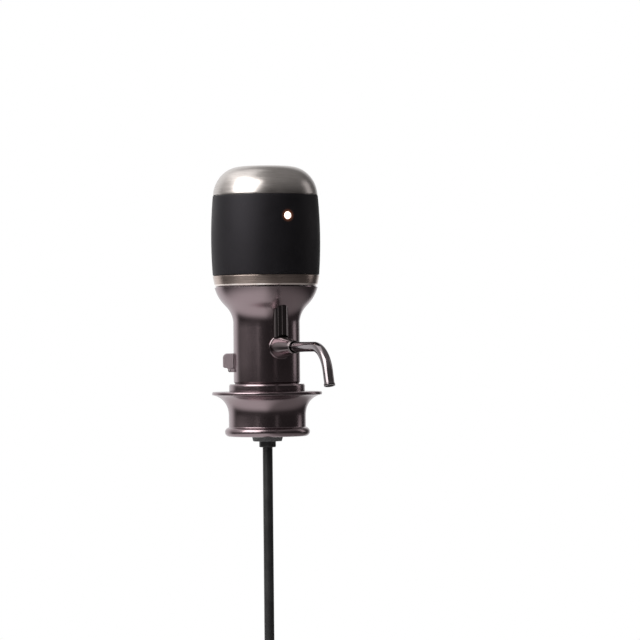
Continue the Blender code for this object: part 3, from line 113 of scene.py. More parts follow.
# The room: white behind the object, pale overhead and on the left, dim where the view stands.
# The white shows straight, in metal and through clear pieces, and lights nothing. A pale slit on
# each side of the view draws a fine line down polished metal.
ROOM_DIM = (0.03, 0.028, 0.028, 1)
ROOM_PALE = (0.25, 0.243, 0.24, 1)
ROOM_LEFT = (0.65, 0.635, 0.625, 1)
ROOM_WHITE = (1, 1, 1, 1)
ROOM_SLIT = (0.6, 0.585, 0.575, 1)
ROOM_LEAN = 0.3
WHITE_FROM, WHITE_FULL = 0.6, 0.92
PALE_FROM, PALE_FULL = 0.05, 0.95
LEFT_RISE, LEFT_SIDE = 0.65, 0.75
LEFT_FROM, LEFT_FULL = 0.6, 1.0
SLIT_SIDE = math.sin(math.radians(29))
SLIT_HALF = 0.045
SLIT_RISE = 0.5
SLIT_FRONT = -0.3


def node(tree, kind, inputs=None, **settings):
    """Add a shader node, set it up, and link each input that is given as a socket."""
    made = tree.nodes.new("ShaderNode" + kind)
    for key, value in settings.items():
        setattr(made, key, value)
    for key, value in (inputs or {}).items():
        if isinstance(value, bpy.types.NodeSocket):
            tree.links.new(value, made.inputs[key])
        else:
            made.inputs[key].default_value = value
    return made


def maths(tree, operation, *values):
    """The result of one Math node."""
    return node(tree, "Math", dict(enumerate(values)), operation=operation).outputs["Value"]


def vector_maths(tree, operation, *values):
    """The outputs of one Vector Math node."""
    return node(tree, "VectorMath", dict(enumerate(values)), operation=operation).outputs


def ease(tree, value, low, high, to_low=0.0, to_high=1.0):
    """A smooth step of a value between two limits."""
    limits = {"Value": value, "From Min": low, "From Max": high, "To Min": to_low, "To Max": to_high}
    return node(tree, "MapRange", limits, interpolation_type="SMOOTHSTEP").outputs["Result"]


def between(tree, share, first, second):
    """A colour that goes from the first to the second with a share."""
    return node(tree, "Mix", {0: share, 6: first, 7: second}, data_type="RGBA").outputs[2]


world = bpy.data.worlds.new("studio_room")
world.use_nodes = True
bpy.context.scene.world = world
room = world.node_tree
room.nodes.clear()
outwards = node(room, "TexCoord").outputs["Generated"]
upward = node(room, "SeparateXYZ", {"Vector": outwards}).outputs["Z"]
away = -towards_view - view_right * ROOM_LEAN
behind = vector_maths(room, "DOT_PRODUCT", outwards, away)["Value"]
rays = node(room, "LightPath").outputs
mirrored = maths(room, "MAXIMUM", rays["Is Glossy Ray"], rays["Is Transmission Ray"])
in_metal = maths(room, "MULTIPLY", mirrored, ease(room, behind, WHITE_FROM, WHITE_FULL))
seen = maths(room, "MAXIMUM", rays["Is Camera Ray"], in_metal)
air = between(room, ease(room, upward, PALE_FROM, PALE_FULL), ROOM_DIM, ROOM_PALE)
left_wall = (Vector((0, 0, LEFT_RISE)) - view_right * LEFT_SIDE).normalized()
beside = vector_maths(room, "DOT_PRODUCT", outwards, left_wall)["Value"]
air = between(room, ease(room, beside, LEFT_FROM, LEFT_FULL), air, ROOM_LEFT)
aside = vector_maths(room, "DOT_PRODUCT", outwards, view_right)["Value"]
off_slit = maths(room, "ABSOLUTE", maths(room, "SUBTRACT", maths(room, "ABSOLUTE", aside), SLIT_SIDE))
slit = maths(room, "MULTIPLY", ease(room, off_slit, SLIT_HALF, 0.0), ease(room, behind, 0.0, SLIT_FRONT))
slit = maths(room, "MULTIPLY", slit, ease(room, maths(room, "ABSOLUTE", upward), SLIT_RISE, 0.0))
air = between(room, maths(room, "MULTIPLY", slit, mirrored), air, ROOM_SLIT)
glow = node(room, "Background", {"Color": between(room, seen, air, ROOM_WHITE), "Strength": 1.0})
node(room, "OutputWorld", {"Surface": glow.outputs["Background"]})


# The floor: a pale sheet just under the dip tube's end. It takes the shadow near the object
# and runs out into plain white further off. In metal it shows bright on the left, dim in front.
FLOOR_DROP = 0.5 * MM
FLOOR_SIZE = 12.0
FLOOR_PALE = (0.82, 0.82, 0.815, 1)
FLOOR_LEFT = (0.95, 0.94, 0.93, 1)
FLOOR_RIGHT = (0.3, 0.29, 0.285, 1)
FLOOR_FRONT = (0.05, 0.047, 0.047, 1)
FLOOR_SIDE = (0.06, 0.057, 0.056, 1)
FADE_FROM, FADE_TO = 0.3, 0.95
NEAR_TO, FAR_FROM = 0.25, 0.9
NEAR_RIGHT, NEAR_LEFT = -0.12, 0.06
SIDE_FROM, SIDE_FULL = -0.1, 0.6

bpy.ops.object.select_all(action="DESELECT")
bpy.ops.mesh.primitive_plane_add(size=FLOOR_SIZE, location=(0, 0, cad_low.z - FLOOR_DROP))
floor = bpy.context.active_object
floor.name = "studio_floor"
sheet = bpy.data.materials.new("pale_floor")
sheet.use_nodes = True
tree = sheet.node_tree
spot = node(tree, "TexCoord").outputs["Object"]
distance = vector_maths(tree, "LENGTH", spot)["Value"]
course = vector_maths(tree, "NORMALIZE", spot)["Vector"]
rearward = vector_maths(tree, "DOT_PRODUCT", course, away)["Value"]
leftward = vector_maths(tree, "DOT_PRODUCT", spot, -view_right)["Value"]
near = between(tree, ease(tree, leftward, NEAR_RIGHT, NEAR_LEFT), FLOOR_RIGHT, FLOOR_LEFT)
sideways = vector_maths(tree, "DOT_PRODUCT", course, -view_right)["Value"]
front = between(tree, ease(tree, sideways, SIDE_FROM, SIDE_FULL), FLOOR_FRONT, FLOOR_SIDE)
far = between(tree, ease(tree, rearward, WHITE_FROM, WHITE_FULL), front, ROOM_WHITE)
reflected = between(tree, ease(tree, distance, NEAR_TO, FAR_FROM), near, far)
rays = node(tree, "LightPath").outputs
faded = maths(tree, "MULTIPLY", rays["Is Camera Ray"], ease(tree, distance, FADE_FROM, FADE_TO))
mirrored = maths(tree, "MAXIMUM", rays["Is Glossy Ray"], rays["Is Transmission Ray"])
plain = node(tree, "BsdfDiffuse", {"Color": FLOOR_PALE})
shown = between(tree, rays["Is Camera Ray"], reflected, ROOM_WHITE)
lit = node(tree, "Emission", {"Color": shown, "Strength": 1.0})
share = maths(tree, "MAXIMUM", faded, mirrored)
mixed = node(tree, "MixShader", {0: share, 1: plain.outputs[0], 2: lit.outputs[0]})
tree.links.new(mixed.outputs[0], tree.nodes["Material Output"].inputs["Surface"])
floor.data.materials.append(sheet)


# Collar: a spool turned from metal and coated gunmetal, which drops over the neck and carries
# the rest. Its flange has a thin rounded rim, its skirt ends in a bead, and a spigot on its
# roof centres the column.
WELD = 0.001 * MM
TURN_STEPS = 192
SMOOTH_ANGLE = math.radians(32)
ROUNDING_SHARE = 0.49
NOISE_LOW, NOISE_HIGH = 0.3, 0.7
WEAR_BREAK = 0.02
STREAK_H = 0.02 * MM
SEAM = 0.05 * MM
GAP = 0.3 * MM
FINE_EDGE = 0.25 * MM
COLLAR_R = 19.4 * MM
SKIRT_BORE_R = 17.3 * MM
COLLAR_FOOT_Z = -19.5 * MM
BEAD_R = 2.3 * MM
BEAD_SINK = 0.3 * MM
BEAD_FILLET_R = 0.5 * MM
FLANGE_R = 27.7 * MM
FLANGE_TOP_Z = 3 * MM
FLANGE_T = 1.6 * MM
FLANGE_RISE = 0.3 * MM
FLANGE_EDGE = 0.75 * MM
FLARE_START_R = 27.2 * MM
FLARE_DEPTH = 10.5 * MM
FLARE_SHARES = ((0.5, 0.91), (0.0, 0.62))
COLUMN_R = 16.75 * MM
ROOF_UNDER_Z = 1.9 * MM
ROOF_TOP_Z = 4.4 * MM
SPIGOT_R = 14.2 * MM
SPIGOT_TOP_Z = 10 * MM
SOCKET_HOLE_R = 4.5 * MM


def drawn(name, points):
    """A chain of edges through points, drawn from one vertex, left in edit mode."""
    bpy.ops.object.select_all(action="DESELECT")
    bpy.ops.mesh.primitive_plane_add(size=MM, location=points[0])
    piece = bpy.context.active_object
    piece.name = name
    bpy.ops.object.transform_apply(location=True, rotation=True, scale=True)
    bpy.ops.object.mode_set(mode="EDIT")
    bpy.ops.mesh.select_mode(type="VERT")
    bpy.ops.mesh.select_all(action="SELECT")
    bpy.ops.mesh.merge(type="CENTER")
    for start, end in zip(points, points[1:]):
        step = Vector(end) - Vector(start)
        bpy.ops.mesh.extrude_vertices_move(TRANSFORM_OT_translate={"value": step})
    bpy.ops.mesh.select_all(action="SELECT")
    return piece


def alone(piece):
    """Select one piece alone and make it active."""
    bpy.ops.object.select_all(action="DESELECT")
    bpy.context.view_layer.objects.active = piece
    piece.select_set(True)


def smoothed(piece):
    """Shade a piece smooth up to an angle."""
    alone(piece)
    bpy.ops.object.shade_smooth_by_angle(angle=SMOOTH_ANGLE)
    return piece


def welded():
    """Merge doubled points in edit mode, turn the faces outwards and leave edit mode."""
    bpy.ops.mesh.select_all(action="SELECT")
    bpy.ops.mesh.remove_doubles(threshold=WELD)
    bpy.ops.mesh.normals_make_consistent(inside=False)
    bpy.ops.object.mode_set(mode="OBJECT")


def rounded(corners, count=5):
    """Points of an outline whose corners (radius, height, rounding) become arcs."""
    points = []
    for index, corner in enumerate(corners):
        here = Vector(corner[:2])
        if len(corner) == 2:
            points.append(here)
            continue
        before = Vector(corners[index - 1][:2]) - here
        after = Vector(corners[(index + 1) % len(corners)][:2]) - here
        half = before.angle(after) / 2
        longest = ROUNDING_SHARE * min(before.length, after.length)
        run = min(corner[2] / math.tan(half), longest)
        radius = run * math.tan(half)
        middle = (before.normalized() + after.normalized()).normalized()
        centre = here + middle * radius / math.sin(half)
        start = (here + before.normalized() * run - centre).normalized()
        end = (here + after.normalized() * run - centre).normalized()
        points += [centre + start.slerp(end, step / count) * radius for step in range(count + 1)]
    return points


def turned(name, corners, steps=TURN_STEPS):
    """Spin an outline of (radius, height) corners round the vertical axis into a closed piece."""
    outline = rounded(corners)
    if outline[0][0] > 0:
        outline.append(outline[0])
    piece = drawn(name, [(radius, 0, height) for radius, height in outline])
    bpy.ops.mesh.spin(steps=steps, angle=2 * math.pi, center=(0, 0, 0), axis=(0, 0, 1))
    welded()
    return smoothed(piece)


def arc(centre, radius, start, end, count):
    """Points of a round stretch, from one angle in degrees to another."""
    points = []
    for step in range(count + 1):
        angle = math.radians(start + (end - start) * step / count)
        points.append((centre[0] + radius * math.cos(angle), centre[1] + radius * math.sin(angle)))
    return points


def curve(start, end, shares, count):
    """A curve from start to end whose two handles are shares of the way back from the end."""
    start, end = Vector(start), Vector(end)
    corners = [start, *(end + (start - end) * Vector(share) for share in shares), end]
    points = []
    for step in range(count + 1):
        t = step / count
        weights = ((1 - t) ** 3, 3 * t * (1 - t) ** 2, 3 * t * t * (1 - t), t**3)
        points.append(tuple(sum(w * c[i] for w, c in zip(weights, corners)) for i in (0, 1)))
    return points


def group(name, inputs, outputs):
    """A new shader group with float inputs, a place input and float outputs."""
    made = bpy.data.node_groups.new(name, "ShaderNodeTree")
    made.interface.new_socket("Place", in_out="INPUT", socket_type="NodeSocketVector")
    for key, value in inputs.items():
        made.interface.new_socket(key, in_out="INPUT", socket_type="NodeSocketFloat").default_value = value
    for key in outputs:
        made.interface.new_socket(key, in_out="OUTPUT", socket_type="NodeSocketFloat")
    entry = made.nodes.new("NodeGroupInput").outputs
    leave = made.nodes.new("NodeGroupOutput").inputs
    return made, entry, leave


def turned_streaks():
    """Fine streaks that run round the Z axis, as a lathe and a brush leave them."""
    made, entry, leave = group("turned_streaks", {"Fineness": 3000.0, "Length": 2.0}, ("Streak",))
    parts = node(made, "SeparateXYZ", {"Vector": entry["Place"]}).outputs
    flat = node(made, "CombineXYZ", {"X": parts["X"], "Y": parts["Y"]}).outputs["Vector"]
    radius = vector_maths(made, "LENGTH", flat)["Value"]
    around = vector_maths(made, "NORMALIZE", flat)["Vector"]
    along = node(made, "SeparateXYZ", {"Vector": around}).outputs
    where = node(made, "CombineXYZ", {
        "X": maths(made, "MULTIPLY", along["X"], entry["Length"]),
        "Y": maths(made, "MULTIPLY", along["Y"], entry["Length"]),
        "Z": maths(made, "MULTIPLY", parts["Z"], entry["Fineness"]),
    }).outputs["Vector"]
    across = maths(made, "MULTIPLY", radius, entry["Fineness"])
    noise = node(
        made, "TexNoise", {"Vector": where, "W": across, "Scale": 1.0, "Detail": 3.0, "Roughness": 0.65},
        noise_dimensions="4D",
    )
    made.links.new(noise.outputs["Fac"], leave["Streak"])
    return made


def fine_grain():
    """An even grain for coatings and mouldings, and a slow drift that handling leaves."""
    made, entry, leave = group("fine_grain", {"Fineness": 2500.0, "Drift": 60.0}, ("Grain", "Haze"))
    grain = node(made, "TexNoise", {"Vector": entry["Place"], "Scale": entry["Fineness"], "Detail": 2.0})
    haze = node(made, "TexNoise", {"Vector": entry["Place"], "Scale": entry["Drift"], "Detail": 4.0})
    made.links.new(grain.outputs["Fac"], leave["Grain"])
    made.links.new(haze.outputs["Fac"], leave["Haze"])
    return made


def edge_wear():
    """A mask of the corners that are rubbed bright, broken up by the grain."""
    made, entry, leave = group("edge_wear", {"From": 0.53, "To": 0.62, "Grain": 0.5}, ("Worn",))
    corner = node(made, "NewGeometry").outputs["Pointiness"]
    broken = maths(made, "MULTIPLY_ADD", entry["Grain"], WEAR_BREAK, corner)
    made.links.new(ease(made, broken, entry["From"], entry["To"]), leave["Worn"])
    return made


STREAKS = turned_streaks()
GRAIN = fine_grain()
WEAR = edge_wear()


def use(tree, shared, **inputs):
    """Place a shared group in a material and return its outputs."""
    return node(tree, "Group", inputs, node_tree=shared).outputs


def new_finish(name, metallic, turn=(0, 0, 0), centre=(0, 0, 0)):
    """A material with one Principled shader, and the place on the piece that patterns follow."""
    finish = bpy.data.materials.new(name)
    finish.use_nodes = True
    tree = finish.node_tree
    shader = tree.nodes["Principled BSDF"].inputs
    shader["Metallic"].default_value = metallic
    spot = node(tree, "TexCoord").outputs["Object"]
    shift = [-value for value in centre]
    moved = node(tree, "Mapping", {"Vector": spot, "Location": shift}).outputs["Vector"]
    place = node(tree, "Mapping", {"Vector": moved, "Rotation": turn}).outputs["Vector"]
    return finish, tree, shader, place


def blended(tree, first, second, share):
    """Two masks in one, with a share of the first."""
    return maths(tree, "MULTIPLY_ADD", first, share, maths(tree, "MULTIPLY", second, 1 - share))


def painted(tree, shader, share, first, second):
    """Colour the shader from the first colour to the second with a share."""
    tree.links.new(between(tree, share, first, second), shader["Base Color"])


def glossed(tree, shader, mask, roughness, spread):
    """Let the shader's roughness rise by a spread with a mask."""
    gloss = ease(tree, mask, NOISE_LOW, NOISE_HIGH, roughness, roughness + spread)
    tree.links.new(gloss, shader["Roughness"])


def raised(tree, shader, height, strength, distance):
    """Feed a height into the shader's normal."""
    bump = node(tree, "Bump", {"Height": height, "Strength": strength, "Distance": distance})
    tree.links.new(bump.outputs["Normal"], shader["Normal"])


def satin_metal(name, dark, pale, worn, roughness, spread, bump=0.12, turn=(0, 0, 0), centre=(0, 0, 0)):
    """A coated or bare metal with a turned grain, faint smudges and brighter corners."""
    finish, tree, shader, place = new_finish(name, 1.0, turn, centre)
    streak = use(tree, STREAKS, Place=place, Fineness=2600.0, Length=2.5)["Streak"]
    grain = use(tree, GRAIN, Place=place, Fineness=2500.0, Drift=70.0)
    edge = use(tree, WEAR, Grain=grain["Grain"])["Worn"]
    tone = blended(tree, streak, grain["Haze"], share=0.6)
    body = between(tree, ease(tree, tone, NOISE_LOW, NOISE_HIGH), (*dark, 1), (*pale, 1))
    painted(tree, shader, edge, body, (*worn, 1))
    glossed(tree, shader, tone, roughness, spread)
    raised(tree, shader, streak, bump, STREAK_H)
    return finish


def dress(piece, finish, body, slot, *nodes):
    """Give a piece its finish and its body, and hide the CAD nodes it stands for. The slot argument is not
    used.
    """
    piece.data.materials.clear()
    piece.data.materials.append(finish)
    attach(piece, body)
    if nodes:
        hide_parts(*nodes)
    return piece


GUNMETAL = satin_metal(
    "gunmetal_satin", dark=(0.3, 0.237, 0.253), pale=(0.322, 0.254, 0.272), worn=(0.42, 0.36, 0.37),
    roughness=0.22, spread=0.02, bump=0.0,
)

bead_z = COLLAR_FOOT_Z + BEAD_R
bead_middle_r = COLLAR_R - BEAD_SINK
bead_rise = math.sqrt((BEAD_R + BEAD_FILLET_R) ** 2 - (BEAD_SINK + BEAD_FILLET_R) ** 2)
bead_lean = math.degrees(math.atan2(bead_rise, BEAD_SINK + BEAD_FILLET_R))
flare_top = (FLARE_START_R, FLANGE_TOP_Z - FLANGE_T)
flare_foot = (COLLAR_R, FLANGE_TOP_Z - FLANGE_T - FLARE_DEPTH)
spool = [
    (SOCKET_HOLE_R, SPIGOT_TOP_Z, FINE_EDGE), (SPIGOT_R, SPIGOT_TOP_Z, FINE_EDGE),
    (SPIGOT_R, ROOF_TOP_Z, FINE_EDGE), (COLUMN_R, ROOF_TOP_Z, FINE_EDGE),
    (COLUMN_R, FLANGE_TOP_Z + FLANGE_RISE, FINE_EDGE), (FLANGE_R, FLANGE_TOP_Z, FLANGE_EDGE),
    (FLANGE_R, FLANGE_TOP_Z - FLANGE_T, FLANGE_EDGE),
]
spool += curve(flare_top, flare_foot, FLARE_SHARES, count=24)
fillet_middle = (COLLAR_R + BEAD_FILLET_R, bead_z + bead_rise)
spool += arc(fillet_middle, BEAD_FILLET_R, 180, 180 + bead_lean, count=10)
spool += arc((bead_middle_r, bead_z), BEAD_R, bead_lean, -90, count=20)[1:]
spool += [
    (SKIRT_BORE_R, COLLAR_FOOT_Z, FINE_EDGE), (SKIRT_BORE_R, ROOF_UNDER_Z, FINE_EDGE),
    (SOCKET_HOLE_R, ROOF_UNDER_Z, FINE_EDGE),
]
dress(turned("collar_spool", spool), GUNMETAL, "root", "gunmetal_satin", "base_collar")


# Stopper: a moulded silicone plug whose three lips seal in the neck. Its flat seat lies on the
# lip, under the collar's roof.
SEAT_T = 1.6 * MM
SEAT_R = 16.5 * MM
STOPPER_R = 8.4 * MM
STOPPER_LIP_R = 9.8 * MM
STOPPER_FOOT_Z = -22 * MM
LIP_DROPS = (3.6 * MM, 9.6 * MM, 15.6 * MM)
LIP_T = 0.8 * MM
LIP_RISE = 1 * MM
NOSE_TAPER = 1.2 * MM
LIP_ROUND = 0.35 * MM
GRAIN_H = 0.03 * MM


def moulded(name, dark, pale, roughness, spread, bump):
    """A moulded surface with a fine grain and a faint haze."""
    finish, tree, shader, place = new_finish(name, 0.0)
    grain = use(tree, GRAIN, Place=place, Drift=90.0)
    tone = blended(tree, grain["Grain"], grain["Haze"], share=0.5)
    painted(tree, shader, ease(tree, tone, NOISE_LOW, NOISE_HIGH), (*dark, 1), (*pale, 1))
    glossed(tree, shader, grain["Haze"], roughness, spread)
    raised(tree, shader, grain["Grain"], bump, GRAIN_H)
    return finish


SILICONE = moulded(
    "grey_silicone", dark=(0.085, 0.085, 0.09), pale=(0.115, 0.115, 0.12),
    roughness=0.5, spread=0.12, bump=0.15,
)

plug = [
    (SOCKET_HOLE_R, SEAT_T, FINE_EDGE), (SEAT_R, SEAT_T, LIP_ROUND), (SEAT_R, 0, LIP_ROUND),
    (STOPPER_R, 0, LIP_ROUND),
]
for drop in LIP_DROPS:
    plug += [
        (STOPPER_R, -drop, LIP_ROUND), (STOPPER_LIP_R, -drop - LIP_T, LIP_ROUND),
        (STOPPER_R, -drop - LIP_T - LIP_RISE, LIP_ROUND),
    ]
plug += [(STOPPER_R - NOSE_TAPER, STOPPER_FOOT_Z, LIP_ROUND), (SOCKET_HOLE_R, STOPPER_FOOT_Z, FINE_EDGE)]
dress(turned("seal_plug", plug, steps=128), SILICONE, "root", "silicone", "neck_stopper")


# Dip tube and socket: a stiff extruded tube that reaches for the last of the drink, pushed into
# a moulded socket that runs through the stopper.
SOCKET_R = 4.2 * MM
SOCKET_BORE_R = 2.8 * MM
SOCKET_FOOT_Z = -25 * MM
SOCKET_TOP_Z = 9.7 * MM
DIP_R = 2.5 * MM
DIP_BORE_R = 1.7 * MM
DIP_FOOT_Z = -250 * MM
DIP_TOP_Z = 8.5 * MM


def tube_corners(bore, outer, low, high, rounding):
    """The outline of a plain tube with its edges rounded."""
    return [
        (bore, low, rounding / 2), (outer, low, rounding),
        (outer, high, rounding), (bore, high, rounding / 2),
    ]


BLACK_PLASTIC = moulded(
    "black_plastic", dark=(0.016, 0.016, 0.017), pale=(0.026, 0.026, 0.027),
    roughness=0.34, spread=0.12, bump=0.08,
)

socket = tube_corners(SOCKET_BORE_R, SOCKET_R, SOCKET_FOOT_Z, SOCKET_TOP_Z, 2 * FINE_EDGE)
dress(turned("tube_socket", socket, steps=64), BLACK_PLASTIC, "root", "black_plastic", "dip_socket")
dip = tube_corners(DIP_BORE_R, DIP_R, DIP_FOOT_Z, DIP_TOP_Z, FINE_EDGE)
dress(turned("draw_tube", dip, steps=64), BLACK_PLASTIC, "root", "black_plastic", "dip_tube")


# Collar ring: a plain turned nut on the flange that clamps the column's foot to the collar.
# Its top edge is bevelled, and a dark gap parts it from the column.
NUT_R = 19.1 * MM
NUT_BORE_R = 17.05 * MM
NUT_Z = 3.25 * MM
NUT_TOP_Z = 6.8 * MM
NUT_BEVEL_T = 0.4 * MM
NUT_BEVEL_H = 0.75 * MM

nut = [
    (NUT_BORE_R, NUT_Z, FINE_EDGE), (NUT_R, NUT_Z, FINE_EDGE / 2),
    (NUT_R, NUT_TOP_Z - NUT_BEVEL_H, FINE_EDGE), (NUT_R - NUT_BEVEL_T, NUT_TOP_Z, FINE_EDGE),
    (NUT_BORE_R, NUT_TOP_Z, FINE_EDGE),
]
dress(turned("collar_ring", nut), GUNMETAL, "root", "gunmetal_satin", "collar_nut")


# Lower housing: one drawn shell, a bell that holds the pump over a column that holds the flow
# block. Three screw bosses stand inside the bell, and two lugs on its side carry the lever's pin.
COLUMN_FOOT_Z = 4.7 * MM
COLUMN_BORE_R = 14.6 * MM
BELL_R = 26 * MM
BELL_WALL = 1.8 * MM
BELL_FOOT_Z = 38.2 * MM
BELL_TOP_Z = 55.45 * MM
BELL_RIM_R = 25.35 * MM
BELL_RIM_Z = 55.9 * MM
BELL_SHARES = ((0.69, 0.42), (0.12, 0.51))
BOSS_R = 2.3 * MM
BOSS_RING_R = 18.8 * MM
BOSS_TOP_Z = 52.6 * MM
BOSS_FOOT_Z = 47.4 * MM
PILOT_R = 1.2 * MM
PILOT_FOOT_Z = 49.2 * MM
OVERRUN = 3 * MM
HUB_Z = 25.3 * MM
STUB_R = 3.7 * MM
PORT_R = 1.1 * MM
PORT_Z = 33.2 * MM
VENT_R = 0.8 * MM
VENT_Z = 18.8 * MM
# Rings of edges above and below the column's holes, which keep the shading round each cut clean.
WALL_RINGS = (16.8 * MM, 20.7 * MM, 30.1 * MM, 31.5 * MM, 35 * MM)
LEVER_TURN = math.radians(-120)
LEVER_PIVOT_R = 18.3 * MM
LEVER_PIVOT_Z = 13.8 * MM
LEVER_W = 7 * MM
LEVER_EYE_R = 0.85 * MM
LEVER_PIN_R = 0.45 * MM
LUG_T = 1.2 * MM
LUG_ROOT_R = 15.4 * MM
GROOVE_T = 0.5 * MM
SCREW_TURNS = (90, 210, 330)
SCREW_PLACES = [
    Matrix.Rotation(math.radians(turn), 4, "Z") @ Matrix.Translation((BOSS_RING_R, 0, 0))
    for turn in SCREW_TURNS
]
OUTWARD = Matrix.Rotation(math.pi / 2, 4, "X")
ACROSS = Matrix.Rotation(math.pi / 2, 4, "Y")
LEVER_PLACE = Matrix.Rotation(LEVER_TURN, 4, "Z") @ Matrix.Translation((0, -LEVER_PIVOT_R, LEVER_PIVOT_Z))
RIB_PLACE = Matrix.Translation((0, -COLUMN_R, 0))


def outward(height, turn=0.0):
    """A place on the axis at a height, facing outwards at a turn from the front."""
    return Matrix.Rotation(turn, 4, "Z") @ Matrix.Translation((0, 0, height)) @ OUTWARD


def placed(piece, matrix):
    """Put a piece in its place and apply the place to its mesh."""
    alone(piece)
    piece.matrix_world = matrix
    bpy.ops.object.transform_apply(location=True, rotation=True, scale=True)
    return piece


def rod(radius, low, high, matrix=Matrix(), steps=64):
    """A plain guide rod along a place's own Z axis, to cut or join with."""
    bpy.ops.object.select_all(action="DESELECT")
    middle = (0, 0, (low + high) / 2)
    bpy.ops.mesh.primitive_cylinder_add(vertices=steps, radius=radius, depth=high - low, location=middle)
    guide = bpy.context.active_object
    bpy.ops.object.transform_apply(location=True, rotation=True, scale=True)
    return placed(guide, matrix)


def worked(piece, guide, operation="DIFFERENCE"):
    """Cut a piece with a guide or join the guide to it, and throw the guide away."""
    alone(piece)
    step = piece.modifiers.new(operation.title(), "BOOLEAN")
    step.operation = operation
    step.solver = "EXACT"
    step.object = guide
    bpy.ops.object.modifier_apply(modifier=step.name)
    bpy.data.objects.remove(guide, do_unlink=True)
    return piece


def bevelled(angle, edge):
    """Round the active piece's edges that are sharper than an angle."""
    bpy.ops.object.mode_set(mode="EDIT")
    bpy.ops.mesh.select_all(action="DESELECT")
    bpy.ops.mesh.select_mode(type="EDGE")
    bpy.ops.mesh.edges_select_sharp(sharpness=angle)
    bpy.ops.mesh.bevel(offset=edge, segments=3, affect="EDGES")
    bpy.ops.mesh.select_mode(type="VERT")
    bpy.ops.object.mode_set(mode="OBJECT")


def plate(name, outline, low_x, high_x, edge):
    """A flat plate with rounded edges, from an outline of (outward, height) points."""
    piece = drawn(name, [(low_x, -out, height) for out, height in outline])
    bpy.ops.mesh.edge_face_add()
    bpy.ops.mesh.extrude_region_move(TRANSFORM_OT_translate={"value": (high_x - low_x, 0, 0)})
    welded()
    bevelled(SMOOTH_ANGLE, edge)
    return smoothed(piece)


bell = curve((BELL_R, BELL_TOP_Z), (COLUMN_R, BELL_FOOT_Z), BELL_SHARES, count=40)
inner_top = (BELL_R - BELL_WALL, BELL_TOP_Z)
inner_foot = (COLUMN_BORE_R, BELL_FOOT_Z - BELL_WALL)
bell_inside = curve(inner_top, inner_foot, BELL_SHARES, count=24)
neck_r = COLUMN_R - GROOVE_T
shell = [
    (COLUMN_BORE_R, COLUMN_FOOT_Z, FINE_EDGE), (COLUMN_R, COLUMN_FOOT_Z, FINE_EDGE),
    (COLUMN_R, NUT_TOP_Z - GROOVE_T), (neck_r, NUT_TOP_Z), (neck_r, NUT_TOP_Z + GROOVE_T, GROOVE_T),
    (COLUMN_R, NUT_TOP_Z + 2 * GROOVE_T, GROOVE_T),
]
shell += [(COLUMN_R, height) for height in WALL_RINGS]
rim = [(BELL_RIM_R, BELL_TOP_Z), (BELL_RIM_R, BELL_RIM_Z), (BELL_R - BELL_WALL, BELL_RIM_Z)]
housing = turned("bell_column", shell + bell[::-1] + rim + bell_inside)
for place in SCREW_PLACES:
    worked(housing, rod(BOSS_R, BOSS_FOOT_Z, BOSS_TOP_Z, place, steps=32), "UNION")
    worked(housing, rod(PILOT_R, PILOT_FOOT_Z, BOSS_TOP_Z + OVERRUN, place, steps=24))
lug_outline = [(LUG_ROOT_R - LEVER_PIVOT_R, LEVER_EYE_R)]
lug_outline += arc((0, 0), LEVER_EYE_R, 90, -90, count=24)
lug_outline += [(LUG_ROOT_R - LEVER_PIVOT_R, -LEVER_EYE_R)]
for side in (-1, 1):
    near = side * (LEVER_W / 2 + GAP)
    lug = plate("lug", lug_outline, near, near + side * LUG_T, FINE_EDGE / 2)
    worked(housing, placed(lug, LEVER_PLACE), "UNION")
reach = LEVER_W / 2 + GAP + LUG_T + OVERRUN
worked(housing, rod(LEVER_PIN_R + SEAM, -reach, reach, LEVER_PLACE @ ACROSS, steps=32))
outward_hub = outward(HUB_Z)
through = (COLUMN_BORE_R - OVERRUN, COLUMN_R + OVERRUN)
worked(housing, rod(STUB_R + SEAM, *through, outward_hub))
worked(housing, rod(PORT_R, *through, outward(PORT_Z), steps=24))
worked(housing, rod(VENT_R, *through, outward(VENT_Z, LEVER_TURN), steps=24))
dress(smoothed(housing), GUNMETAL, "root", "gunmetal_satin", "lower_housing")


# Air duct: a glossy half-round rib that brings the pump's air down the front of the column to
# the hub. It is open at its back and runs out into the bell under a round arch.
DUCT_R = 4 * MM
DUCT_TOP_Z = 49 * MM
BEZEL_R = 6.1 * MM
CHANNEL_R = 1.6 * MM
CHANNEL_Z = 32.4 * MM
CHANNEL_TOP_Z = 42.4 * MM
WIPE_LOW, WIPE_HIGH = 0.35, 0.65


def glossy_metal(name, dark, pale, roughness, spread):
    """A polished dark plating with faint wipe marks in its gloss."""
    finish, tree, shader, place = new_finish(name, 1.0)
    haze = use(tree, GRAIN, Place=place, Drift=110.0)["Haze"]
    painted(tree, shader, ease(tree, haze, WIPE_LOW, WIPE_HIGH), (*dark, 1), (*pale, 1))
    glossed(tree, shader, haze, roughness, spread)
    return finish


DARK_CHROME = glossy_metal(
    "dark_chrome", dark=(0.3, 0.265, 0.27), pale=(0.32, 0.283, 0.288),
    roughness=0.07, spread=0.02,
)

duct = rod(DUCT_R, HUB_Z, DUCT_TOP_Z, RIB_PLACE, steps=96)
duct.name = "duct_rib"
wall = [(0, COLUMN_FOOT_Z), (COLUMN_R + SEAM, COLUMN_FOOT_Z)]
wall += [(radius + SEAM, height) for radius, height in bell[::-1]]
wall += [(0, BELL_TOP_Z)]
worked(duct, turned("wall_guide", wall))
worked(duct, rod(BEZEL_R + SEAM, 0, COLUMN_R + DUCT_R + OVERRUN, outward_hub, steps=96))
worked(duct, rod(CHANNEL_R, CHANNEL_Z, CHANNEL_TOP_Z, RIB_PLACE, steps=32))
dress(smoothed(duct), DARK_CHROME, "root", "dark_chrome", "air_duct_rib")


